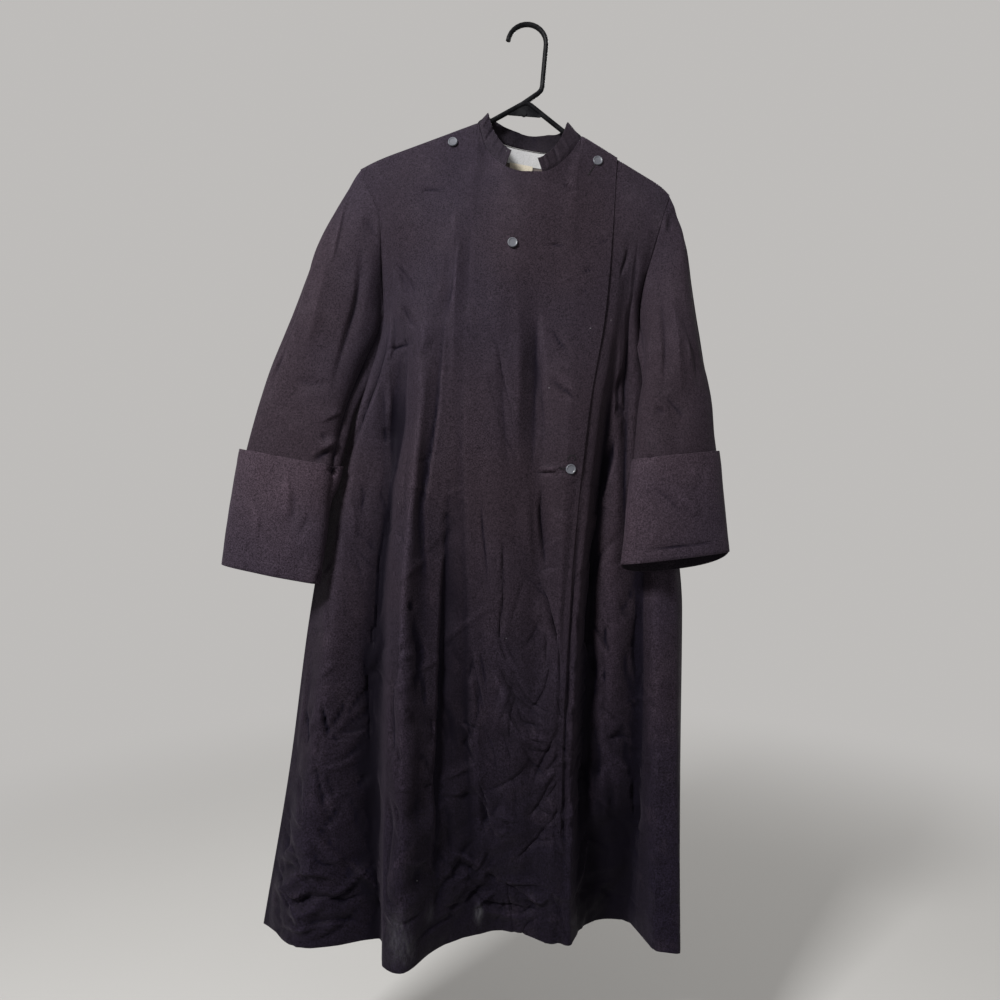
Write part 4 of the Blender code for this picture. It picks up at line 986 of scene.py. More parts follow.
# one row for each section down a sleeve: its outer edge, its inner edge, and how far it
# bulges to the front and to the back
sleeveCut = {
    "wall": 1.1,
    "around": 168,
    "along": 171,
    "squareness": 0.85,
    "headShare": 0.22,         # share of the length over which it leaves the armhole's form
    "seamDip": (1.3, 0.016),   # the seam lies this deep, and rises over this share of the length
    "creaseShare": 0.05,       # share of the length over which the creases come up
    # the back half reaches in past the body's side seam
    "fill": {
        "past": 3.0,
        "most": 40.0,
        "top": (-440.0, 30.0, 40.0),     # it starts this much above the height, and over this much
        "bottom": (-790.0, 60.0),        # and it has died away at this height, over this much
        "place": 5 / 8,                  # where round the sleeve it is largest
        "power": 0.6,
    },
    "right": (
        ("head", (-270, 0, -232), (-233, 0, -465), 24, 20),
        ("upper", (-327, -8, -336), (-242.5, -1, -498), 27, 21),
        ("elbow", (-376, -14, -466), (-264, -6, -548), 33, 23),
        ("fore", (-420, -20, -594), (-289, -25, -622), 28, 20),
        ("cuffTop", (-446, -26, -690), (-308, -40, -716), 22, 20),
        ("end", (-482, -30, -870), (-326, -48, -899), 21, 20),
    ),
    "left": (
        ("head", (231, 0, -274), (182, 0, -482), 22, 18),
        ("upper", (258, -8, -368), (186, -9, -508), 24, 18),
        ("elbow", (274, -20, -500), (184, -34, -560), 26, 16),
        ("fore", (287, -27, -594), (173, -42, -625), 26, 17),
        ("cuffTop", (297, -34, -692), (164, -49, -706), 28, 17),
        ("end", (315, -38, -849), (146, -51, -868), 25, 19),
    ),
}
cuffCut = {
    "wall": 1.4,
    "stand": {"right": 9.0, "left": 3.0},       # how far its upper edge stands off
    "innerStand": 0.25,                         # share of that at the inner edge
    "backDrop": {"right": 0.0, "left": 20.0},   # how much lower its back edge hangs
    "dropFrom": 0.6,                            # share of the sleeve's length where that begins
}
collarCut = {
    "wall": 1.4,
    "rows": 12,
    "along": 91,               # points along each of the neck seam's three stretches
    "gap": 0.6,
    "middle": (4.0, 0.0, -180.0),
    "seamDip": (1.7, 0.16),    # pressed in this far at the neck seam, over this share of its height
    "rippleFoot": 0.3,         # share of the height over which the ripples come up
    "rippleGain": (0.6, 0.8),  # and how they grow from there to the top
    # ripples: share of the seam, lean towards the left end at the top, width, height
    "ripples": (
        (0.04, 3.0, 3.0, -1.6), (0.10, 5.0, 3.4, 1.5), (0.15, 4.0, 2.8, -2.0),
        (0.21, 6.0, 4.0, 1.2), (0.28, 0.0, 4.0, -1.5), (0.36, 2.0, 5.0, 1.4),
        (0.44, -2.0, 4.0, -1.7), (0.53, 1.0, 5.0, 1.3), (0.61, -2.0, 4.0, -1.6),
        (0.70, -3.0, 4.0, 1.4), (0.78, -5.0, 3.4, -1.8), (0.85, -4.0, 4.0, 1.4),
        (0.92, -6.0, 3.0, -1.9), (0.97, -3.0, 3.0, 1.2),
    ),
    # share of the neck seam, from the wearer's right end to the left, and the rise there
    "rise": (
        (0.00, (10, 0, 26)),
        (0.13, (16, 3, 23)),
        (0.24, (16, 1, 17)),
        (0.36, (10, -4, 25)),
        (0.50, (-2, -3, 24)),
        (0.63, (-12, -4, 30)),
        (0.74, (-22, 0, 26)),
        (0.87, (-14, 0, 25)),
        (1.00, (-8, 0, 23)),
    ),
}

sleeveCreases = {
    "right": {
        "front": (
            (-2.4, 12, 0.2, (-339, -311), (-357, -420), (-386, -530), (-412, -631)),
            (2.2, 14, 0.01, (-315, -356), (-328, -448), (-350, -548)),
            (-2.6, 10, -0.2, (-264, -338), (-268, -430), (-291, -530), (-311, -612)),
            (-1.4, 14, 0, (-265, -315), (-245, -338), (-235, -354)),
            (1.6, 4, (-282, -267), (-292, -291), (-301, -338), (-309, -381), (-317, -405)),
            (1.4, 4, (-358, -470), (-378, -512), (-397, -557), (-412, -595)),
            (-2.2, 8, 0.2, (-337, -712), (-317, -696), (-301, -685)),
            (1.6, 8, (-329, -696), (-311, -684), (-296, -666)),
            (1.2, 8, (-327, -651), (-306, -636), (-288, -630)), (-1.1, 9, (-321, -660), (-316, -684)),
            (-0.9, 10, 0, (-367, -581), (-330, -587), (-306, -584)),
            (0.9, 12, 0, (-400, -623), (-373, -648), (-355, -684)),
            (-2, 3, (-319, -721), (-305, -721), (-298, -720)), (-1.6, 3, (-305, -722), (-312, -730)),
            (1.2, 9, (-374, -714), (-373, -744), (-373, -783), (-384, -810)),
            (-1.2, 12, 0, (-364, -741), (-361, -774), (-367, -816)),
            (-2.6, 5, (-308, -815), (-312, -831), (-321, -850)),
            (-1.5, 7, (-315, -870), (-327, -888), (-332, -900)),
            (-1, 9, (-336, -780), (-345, -804), (-360, -825)),
            (1, 9, (-435, -756), (-420, -801), (-423, -846)),
        ),
        "back": (
            (-2.2, 8, 0.2, (-292, -392), (-322, -470), (-350, -560)),
            (1.4, 9, 0, (-300, -480), (-330, -560), (-338, -590)),
            (-1.6, 8, 0, (-330, -600), (-372, -620), (-400, -606)),
            (1.4, 8, 0, (-316, -640), (-356, -662), (-380, -650)),
            (-1.8, 7, 0, (-352, -660), (-380, -740), (-396, -820)),
            (1.2, 9, 0, (-420, -720), (-436, -800), (-446, -840)),
        ),
    },
    "left": {
        "front": (
            (-2.2, 12, 0.2, (260, -342), (267, -432), (278, -532), (282, -632)),
            (2, 13, 0.01, (227, -396), (231, -505), (237, -614)),
            (-2, 9, -0.2, (209, -423), (213, -514), (207, -614)),
            (-1.3, 7, (205, -606), (226, -624), (242, -649)), (-1.1, 6, (194, -623), (214, -637)),
            (-1.1, 8, (245, -508), (261, -550), (264, -599)),
            (1.2, 8, (233, -484), (248, -526), (255, -575)),
            (1.1, 8, (184, -600), (202, -618), (223, -642)),
            (1, 9, (243, -714), (256, -732), (265, -750)),
            (1.1, 9, (219, -756), (243, -774), (264, -799)),
            (-1.1, 9, -0.3, (183, -744), (213, -768), (237, -798)), (-0.9, 6, (177, -701), (196, -704)),
            (-1, 2.4, (143, -846), (167, -843), (211, -840), (250, -838), (280, -835), (313, -836)),
            (-1.6, 9, (218, -302), (228, -323), (223, -347)),
            (1.2, 7, (238, -301), (247, -339), (252, -386)),
        ),
        "back": (
            (-2.0, 8, 0, (236, -400), (250, -480), (252, -570)),
            (-1.4, 7, 0, (200, -560), (236, -584), (262, -576)),
            (1.3, 9, 0, (214, -620), (232, -700), (236, -740)),
            (-1.5, 8, 0, (250, -640), (262, -720), (268, -800)),
            (-1.2, 8, 0, (190, -760), (210, -830), (212, -850)),
        ),
    },
}


def sideLine(lines, index, facing, bottom):
    # the side line of a front or back from the shoulder to the underarm
    row = lines[index]
    crowding = 1.6                              # the points crowd towards the rolled top edge
    z = row[1][2] - (row[1][2] - bottom) * np.linspace(0, 1, bodyCut["measuring"]) ** crowding
    place = lineAt(row, z)
    y = place[:, 1] + facing * (shoulderBulge(row[1][2] - z) + bodyCut["seamGap"] / 2)
    return np.stack([place[:, 0], y, z], axis=-1)


def armholeRing(side):
    # from the shoulder down the front, round the underarm and up the back
    index, outward = (0, -1.0) if side == "right" else (-1, 1.0)
    bottom = bodyCut["underarm"][side]
    half = sleeveCut["around"] // 2
    halves = []
    for lines, facing in ((bodyCut["front"], -1), (bodyCut["back"], 1)):
        line = sideLine(lines, index, facing, bottom)
        share = evenAlong(line, half + 1)
        halves.append(np.stack([np.interp(share, np.linspace(0, 1, len(line)), line[:, k])
                                for k in range(3)], axis=-1))
    front, back = halves
    top, low = (front[:1] + back[:1]) / 2, (front[-1:] + back[-1:]) / 2
    ring = np.concatenate([top, front[1:-1], low, back[-2:0:-1]])
    ring[:, 0] += outward * bodyCut["seamGap"]
    return ring


def sleeveSection(outerEdge, innerEdge, front, back, angle, drop):
    # a flattened ring between its outer and inner edges, a power of cosine and sine
    power = sleeveCut["squareness"]
    middle, half = (outerEdge + innerEdge) / 2, (outerEdge - innerEdge) / 2
    turn, side = np.cos(angle), np.sin(angle)
    bulge = np.sign(side) * np.abs(side) ** power
    loop = middle + half * (np.sign(turn) * np.abs(turn) ** power)[:, None]
    loop[:, 1] -= np.where(bulge > 0, bulge * front, bulge * back)
    loop[:, 2] += np.minimum(bulge, 0.0) * drop
    return loop


def underarmFill(tube, angle, side, outward):
    # below the underarm the back half of the sleeve reaches in as far as the side seam:
    # a shift that is largest halfway between the inner edge and the back
    fill = sleeveCut["fill"]
    (upper, above, starting), (lower, ending) = fill["top"], fill["bottom"]
    z = tube[..., 2]
    seam = lineAt(bodyCut["front"][0 if side == "right" else -1], z)[..., 0]
    weight = np.clip(-np.sin(angle), 0, 1) * np.clip(-np.cos(angle), 0, 1) * 2
    middle = int(len(angle) * fill["place"])
    wanted = (tube[middle, :, 0] - seam[middle]) * outward + fill["past"]
    reach = np.clip(wanted, 0.0, fill["most"]) * easeStep((upper + above - z[middle]) / starting)
    reach = reach * easeStep((z[middle] - lower) / ending)
    return -outward * reach[None, :] * weight[:, None] ** fill["power"]


def makeSleeve(side):
    # rings carried from the armhole to the sleeve's end; the cuff is a band round its end
    table = sleeveCut[side]
    ring = armholeRing(side)
    outward = -1.0 if side == "right" else 1.0
    places = np.linspace(0, 1, len(table))
    stations = np.linspace(0, 1, sleeveCut["along"])
    edges = [curveThrough(places, [row[k] for row in table], stations) for k in (1, 2)]
    depths = [curveThrough(places, [[row[k]] for row in table], stations)[:, 0] for k in (3, 4)]
    angle = 2 * math.pi * np.arange(len(ring)) / len(ring)
    late = (stations - cuffCut["dropFrom"]) / (1 - cuffCut["dropFrom"])
    drops = cuffCut["backDrop"][side] * easeStep(late)
    loops = []
    for k, place in enumerate(stations):
        loop = sleeveSection(edges[0][k], edges[1][k], depths[0][k], depths[1][k], angle, drops[k])
        start = sleeveSection(edges[0][0], edges[1][0], depths[0][0], depths[1][0], angle, 0.0)
        share = easeStep(place / sleeveCut["headShare"])
        loops.append(loop + (ring - start) * (1 - share))
    tube = np.array(loops).transpose(1, 0, 2)
    tube[..., 0] += underarmFill(tube, angle, side, outward)
    normals = gridNormals(tube, closed=True)
    sign = np.sign(np.sum((tube - tube.mean(axis=0, keepdims=True)) * normals))
    normals = normals * sign
    faceFront = easeStep(-normals[..., 1] * 2 + 0.5)
    x, z = tube[..., 0], tube[..., 2]
    relief = (creaseHeight(x, z, sleeveCreases[side]["front"]) * faceFront
              + creaseHeight(x, z, sleeveCreases[side]["back"]) * (1 - faceFront)
              + clothFacets(x, z, side) * (2 * faceFront - 1) ** 2)
    dip, dipShare = sleeveCut["seamDip"]
    relief = relief * easeStep(stations / sleeveCut["creaseShare"])[None, :]
    relief = relief - dip * np.exp(-stations / dipShare)[None, :]
    tube = tube + normals * relief[..., None]
    normals = gridNormals(tube, closed=True) * sign
    head = normals[:, 0].copy()
    head[:, 0] = np.minimum(head[:, 0] * outward, 0.0) * outward
    normals[:, 0] = unitLength(head)
    sleeve = clothShell(side + "Sleeve", tube, tube - normals * sleeveCut["wall"], closed=True)
    first = int(np.searchsorted(stations, places[-2])) // 2 * 2
    lower, lowerNormals = tube[:, first:], normals[:, first:]
    height = np.linspace(1, 0, lower.shape[1])[None, :, None]
    outerSide = (0.5 + 0.5 * np.cos(angle))[:, None, None]
    least = cuffCut["innerStand"]
    stand = cuffCut["stand"][side] * np.sqrt(easeStep(height)) * (least + (1 - least) * outerSide)
    lift = bodyCut["seamGap"] + stand
    inner = lower + lowerNormals * lift
    cuff = clothShell(side + "Cuff", inner + lowerNormals * cuffCut["wall"], inner, closed=True)
    return sleeve, cuff


print("cassock: sleeves and cuffs")
sleeves = {side: makeSleeve(side) for side in ("right", "left")}


def neckSeam():
    # the neck's top edges from the wearer's right end round the nape to the left end
    seams = []
    for lines, first, last in ((bodyCut["front"], "neckRight", "endRight"),
                               (bodyCut["back"], "neckRight", "neckLeft"),
                               (bodyCut["front"], "endLeft", "neckLeft")):
        fold = np.linspace(lineNumber(first, lines), lineNumber(last, lines), collarCut["along"])
        seams.append(curveThrough(np.arange(len(lines)), [row[1][:3] for row in lines], fold))
    right, nape, left = seams
    return np.concatenate([right[::-1][:-1], [(right[0] + nape[0]) / 2], nape[1:-1],
                           [(nape[-1] + left[-1]) / 2], left[::-1][1:]])


def makeCollar():
    # a band standing on the neck seam: seam points plus the rise at their share of it,
    # with ripples as bell curves along it
    cut = collarCut
    seam = neckSeam()
    step = np.linalg.norm(np.diff(seam, axis=0), axis=1)
    share = np.concatenate([[0.0], np.cumsum(step)]) / step.sum()
    table = cut["rise"]
    rise = curveThrough([row[0] for row in table], [row[1] for row in table], share)
    start = cut["gap"] / np.linalg.norm(rise, axis=1, keepdims=True)
    count = cut["rows"]
    band = np.stack([seam + rise * (start + (1 - start) * k / count) for k in range(count, -1, -1)], axis=1)
    normals = gridNormals(band)
    outward = np.sign(np.sum((band - np.array(cut["middle"])) * normals))
    length = (share * step.sum())[:, None] * np.ones((1, band.shape[1]))
    height = np.linspace(1, 0, band.shape[1])[None, :] * np.ones((len(share), 1))
    ripple = np.zeros_like(length)
    for place, lean, wide, deep in cut["ripples"]:
        ripple += deep * np.exp(-((length - place * step.sum() - lean * height) / wide) ** 2)
    low, more = cut["rippleGain"]
    dip, dipShare = cut["seamDip"]
    ripple = ripple * easeStep(height / cut["rippleFoot"]) * (low + more * height)
    ripple -= dip * np.exp(-(height / dipShare) ** 2)
    band = band + (normals * outward) * ripple[..., None]
    normals = gridNormals(band) * outward
    return clothShell("standCollar", band, band - normals * cut["wall"])


weltCut = {
    "halfWidth": 1.3,
    "height": 0.75,
    "sunk": 0.5,
    "slit": (0.45, 0.25),      # share of the half width taken by the slit, and of the height left in it
    "stitch": (0.85, 0.2),     # length of one stitch of the thread, and its share of the height
    "around": 20,
    "spacing": 0.2,
    "tip": 0.003,              # share of the section that is left at the ends
    "nearby": 8.0,             # the cloth is looked for within this distance
    # the points (x, z) that each welt runs through
    "lines": {
        "shoulderHole": ((110, -229), (103.5, -239.5), (96.6, -250.0)),
        "waistHole": ((59, -720.8), (52.5, -719.6), (46.6, -717.8)),
        "waistLoop": ((61.2, -707.6), (62.6, -702.6), (67.4, -699.2), (72.0, -700.4),
                      (73.4, -704.4), (71.0, -707.4)),
    },
}


def makeWelt(name, line):
    # a stitched welt on the overlap: over a rounded section stand two lips, and the
    # stitches are a cosine along it
    cut = weltCut
    outer, normals = (grid.reshape(-1, 3) for grid in fronts["overlapFrontGrid"])
    line = np.array(line, float)
    walk = np.concatenate([[0.0], np.cumsum(np.hypot(*np.diff(line, axis=0).T))])
    at = np.linspace(0, walk[-1], int(walk[-1] / cut["spacing"]))
    centre = curveThrough(walk, line, at)
    forward = unitLength(np.gradient(centre, axis=0))
    sideways = np.stack([-forward[:, 1], forward[:, 0]], axis=-1)
    ends = np.clip(np.minimum(at, walk[-1] - at) / cut["halfWidth"], cut["tip"], 1.0)
    ends = np.sqrt(ends)[:, None]
    angle = 2 * math.pi * np.arange(cut["around"]) / cut["around"]
    across = np.cos(angle)[None, :] * ends
    (slit, left), (stitch, rise) = cut["slit"], cut["stitch"]
    lips = left + (1 - left) * np.minimum(np.abs(across) / slit, 1.0)
    stitches = 1 - rise + rise * np.cos(2 * math.pi * at / stitch)[:, None]
    top = np.sin(angle)[None, :] * ends * cut["height"] * lips * stitches
    up = np.where(top > 0, top, np.sin(angle)[None, :] * ends * cut["sunk"])
    flat = centre[:, None] + sideways[:, None] * (across * cut["halfWidth"])[..., None]
    low, high = line.min(0) - cut["nearby"], line.max(0) + cut["nearby"]
    near = np.all((outer[:, [0, 2]] > low) & (outer[:, [0, 2]] < high), axis=1)
    outer, normals = outer[near], normals[near]
    apart = np.sum((flat.reshape(-1, 1, 2) - outer[None, :, [0, 2]]) ** 2, axis=-1)
    nearest = np.argmin(apart, axis=1)
    spot, lean = outer[nearest], normals[nearest]
    shift = flat.reshape(-1, 2) - spot[:, [0, 2]]
    y = spot[:, 1] - (lean[:, 0] * shift[:, 0] + lean[:, 2] * shift[:, 1]) / lean[:, 1]
    points = np.stack([flat[..., 0].ravel(), y, flat[..., 1].ravel()], axis=-1)
    points = points + lean * up.reshape(-1, 1)
    number = np.arange(len(points)).reshape(len(at), -1)
    turned = np.roll(number, -1, axis=1)
    sides = np.stack([number[:-1], turned[:-1], turned[1:], number[1:]], axis=-1).reshape(-1, 4)
    welt = addMesh(name, points, sides.tolist() + [number[0, ::-1].tolist(), number[-1].tolist()])
    if signedVolume(welt.data) < 0:
        welt.data.flip_normals()
    return welt


print("cassock: buttonholes and loop")
welts = [makeWelt(name, line) for name, line in weltCut["lines"].items()]

print("cassock: collar")
collar = makeCollar()

labelCut = {
    "wall": 0.6,
    # piece: mesh name, fold lines on both sides, depths below the neck seam, grid
    "facing": ("neckFacing", ("neckBackRight", "neckBackLeft"), (2.0, 95.0), (91, 49)),
    "label": ("neckLabel", (5.34, 6.48), (2.0, 27.0), (31, 13)),
    "tag": ("sizeTag", (5.49, 6.12), (26.0, 41.3), (15, 13)),
}


def makeNeckPieces():
    # strips of the back's inner skin, each moved in past the one before: the facing, the
    # label and the tag
    inner, normals, fold = backPart["inner"], backPart["normals"], backPart["fold"]
    step = np.linalg.norm(np.diff(inner[len(fold) // 2], axis=0), axis=1)
    depth = np.cumsum(np.concatenate([[0.0], step]))
    wall, gap = labelCut["wall"], bodyCut["seamGap"]
    made = {}
    for layer, piece in enumerate(("facing", "label", "tag")):
        name, sides, depths, (columns, rows) = labelCut[piece]
        if piece == "facing":
            sides = [lineNumber(line, bodyCut["back"]) for line in sides]
        at = np.interp(np.linspace(*sides, columns), fold, np.arange(len(fold)))
        down = np.interp(np.linspace(*depths, rows), depth, np.arange(len(depth)))
        skins = []
        for grid in (inner, normals):
            for axis, spots in ((0, at), (1, down)):
                low = np.minimum(spots.astype(int), grid.shape[axis] - 2)
                shape = [1, 1, 1]
                shape[axis] = -1
                share = (spots - low).reshape(shape)
                grid = np.take(grid, low, axis) * (1 - share) + np.take(grid, low + 1, axis) * share
            skins.append(grid)
        base = skins[0] - skins[1] * (gap * (layer + 1) + wall * layer)
        made[piece] = clothShell(name, base, base - skins[1] * wall)
    return made


neckPieces = makeNeckPieces()


class Finish:
    # a short way of adding and joining a material's nodes
    def __init__(self, name):
        self.material = bpy.data.materials.new(name)
        self.material.use_nodes = True
        self.tree = self.material.node_tree
        self.shader = self.tree.nodes["Principled BSDF"]

    def node(self, kind, inputs=(), **settings):
        made = self.tree.nodes.new(kind)
        for key, value in settings.items():
            setattr(made, key, value)
        for key, value in dict(inputs).items():
            self.join(value, made.inputs[key])
        return made

    def join(self, value, socket):
        if isinstance(value, bpy.types.NodeSocket):
            self.tree.links.new(value, socket)
        else:
            socket.default_value = value

    def math(self, operation, first, second=0.0):
        # one sum, product or sine
        return self.node("ShaderNodeMath", {0: first, 1: second}, operation=operation).outputs[0]

    def ramp(self, value, low, high, toLow=0.0, toHigh=1.0):
        # a smooth step from one value to another
        return self.node("ShaderNodeMapRange", {0: value, 1: low, 2: high, 3: toLow, 4: toHigh},
                         interpolation_type="SMOOTHSTEP").outputs[0]

    def mix(self, factor, first, second):
        made = self.node("ShaderNodeMix", data_type="RGBA")
        self.join(factor, made.inputs[0])
        self.join(first, made.inputs[6])
        self.join(second, made.inputs[7])
        return made.outputs[2]

    def noise(self, place, scale, detail=2.0, rough=0.5):
        made = self.node("ShaderNodeTexNoise", {"Vector": place, "Scale": scale, "Detail": detail,
                                                "Roughness": rough})
        return made.outputs[0]

    def bump(self, height, strength, distance, under=None):
        # a relief, on the one under it
        made = self.node("ShaderNodeBump", {"Height": height, "Strength": strength, "Distance": distance})
        if under is not None:
            self.join(under, made.inputs["Normal"])
        return made.outputs[0]


clothFinish = {
    "warm": (0.0149, 0.0105, 0.0138, 1),
    "cool": (0.0125, 0.0097, 0.0145, 1),
    "low": (0.0034, 0.0027, 0.0056, 1),       # towards the hem: painted shade where the light falls off downwards, partly dirt
    "lowBetween": (-0.70, -1.42),
    "hemShadeAndDirtShare": 0.9,
    "patchScale": 3.2,                        # of the warm and cool patches
    "rubbedScale": 22.0,
    "rubbedShare": 0.22,
    "worn": (0.030, 0.022, 0.029, 1),         # where the cloth is rubbed
    "slubScale": 470.0,                       # of the yarn's unevenness
    "slub": (1.3, 1.9),                       # its strength at the top and at the hem
    "ground": (0.20, -0.075),                 # and the even share beside it
    "streak": 0.3,                            # strength of the streaks along the yarn
    "thread": 0.0010,                         # spacing of the weave
    "weave": 0.07,                            # its strength in the colour
    "foldRange": 5.5,                         # troughs and ridges of this many mm get painted shade and painted highlight
    "troughShadeShare": 0.85,
    "ridgeHighlightGain": 1.40,
    "deep": (0.0022, 0.0018, 0.0046, 1),      # painted shade in the troughs
    "recessBetween": (-5.0, -26.0),           # the bottoms of the large folds, in mm, that get painted shade
    "recessShadeShare": 0.95,
    # painted shade at the bottoms of the large folds
    "deepest": (0.0010, 0.0008, 0.0022, 1),
    "sheen": 0.03,
    "stitch": 0.0,                            # distance of a row of stitches from the hem
    "stitchLength": 0.0032,
    # whitish marks near the hem: x, z, radius, strength
    "marks": ((-196.0, -1416.0, 26.0, 0.20), (-180.0, -1436.0, 14.0, 0.24),
              (-78.0, -1428.0, 11.0, 0.36), (-152.0, -1402.0, 10.0, 0.12)),
    "mark": (0.15, 0.15, 0.16, 1),
    "lint": (0.24, 0.24, 0.25, 1),
    "lintScale": 30.0,
}


def multiplyColour(f, colour, shade):
    # each channel times the shade
    grey = f.node("ShaderNodeCombineXYZ", {0: shade, 1: shade, 2: shade}).outputs[0]
    return f.node("ShaderNodeVectorMath", {0: colour, 1: grey}, operation="MULTIPLY").outputs[0]


def hemMarks(f, colour, place, y, settings):
    # upright smears: an oval that fades outwards, on the front only, broken up by a noise
    stretched = f.node("ShaderNodeMapping", {0: place, 3: (230.0, 120.0, 70.0)}).outputs[0]
    smear = f.ramp(f.noise(stretched, 1.0, 4.0, 0.6), 0.20, 0.85)
    front = f.ramp(y, 0.0, -0.01)
    for x, z, radius, strength in settings["marks"]:
        near = f.node("ShaderNodeVectorMath", {0: place, 1: (x * mm, 0.0, z * mm)},
                      operation="SUBTRACT").outputs[0]
        near = f.node("ShaderNodeVectorMath", {0: near, 1: (1.0, 0.0, 0.45)},
                      operation="MULTIPLY").outputs[0]
        away = f.node("ShaderNodeVectorMath", {0: near}, operation="LENGTH").outputs["Value"]
        mark = f.math("MULTIPLY", f.ramp(away, radius * mm, 0.0), smear)
        mark = f.math("MULTIPLY", f.math("MULTIPLY", mark, front), strength)
        colour = f.mix(mark, colour, settings["mark"])
    return colour


def lintSpecks(f, colour, place, settings):
    # small round specks round the centres of a few of a cell pattern's cells
    cells = f.node("ShaderNodeTexVoronoi", {"Vector": place, "Scale": settings["lintScale"]}, feature="F1")
    pick = f.node("ShaderNodeSeparateXYZ", {0: cells.outputs["Color"]}).outputs[0]
    speck = f.math("MULTIPLY", f.ramp(cells.outputs["Distance"], 0.032, 0.018), f.ramp(pick, 0.86, 0.9))
    return f.mix(f.math("MULTIPLY", speck, 0.4), colour, settings["lint"])


def clothBumps(f, place, low, weave):
    # a soft rumple, ridges that grow towards the hem, and the weave
    rumple = f.noise(place, 30.0, 3.0, 0.5)
    ridges = f.node("ShaderNodeTexNoise", {"Vector": place, "Scale": 16.0, "Detail": 3.0, "Roughness": 0.45,
                                           "Lacunarity": 2.1, "Offset": 0.9, "Gain": 1.4},
                    noise_type="RIDGED_MULTIFRACTAL", normalize=True)
    wrinkle = f.math("MULTIPLY", ridges.outputs[0], f.math("ADD", f.math("MULTIPLY", low, 0.8), 0.2))
    first = f.bump(rumple, 0.10, 0.004)
    second = f.bump(wrinkle, 0.25, 0.0030, first)
    return f.bump(weave, 0.5, 0.00010, second)


def stitchRow(f, colour, normal, across, settings):
    # dashes in a groove, at one distance from the hem
    edge = f.node("ShaderNodeSeparateXYZ", {0: f.node("ShaderNodeUVMap", uv_map="edgeMap").outputs[0]})
    aside = f.math("ABSOLUTE", f.math("SUBTRACT", edge.outputs[1], settings["stitch"]))
    groove = f.ramp(aside, 0.0018, 0.0)
    turns = f.math("MULTIPLY", across, 2 * math.pi / settings["stitchLength"])
    dash = f.math("MULTIPLY", f.ramp(f.math("SINE", turns), 0.0, 0.4), f.ramp(aside, 0.0005, 0.0002))
    colour = f.mix(f.math("MULTIPLY", dash, 0.3), colour, settings["worn"])
    return colour, f.bump(f.math("SUBTRACT", dash, groove), 0.5, 0.0009, normal)


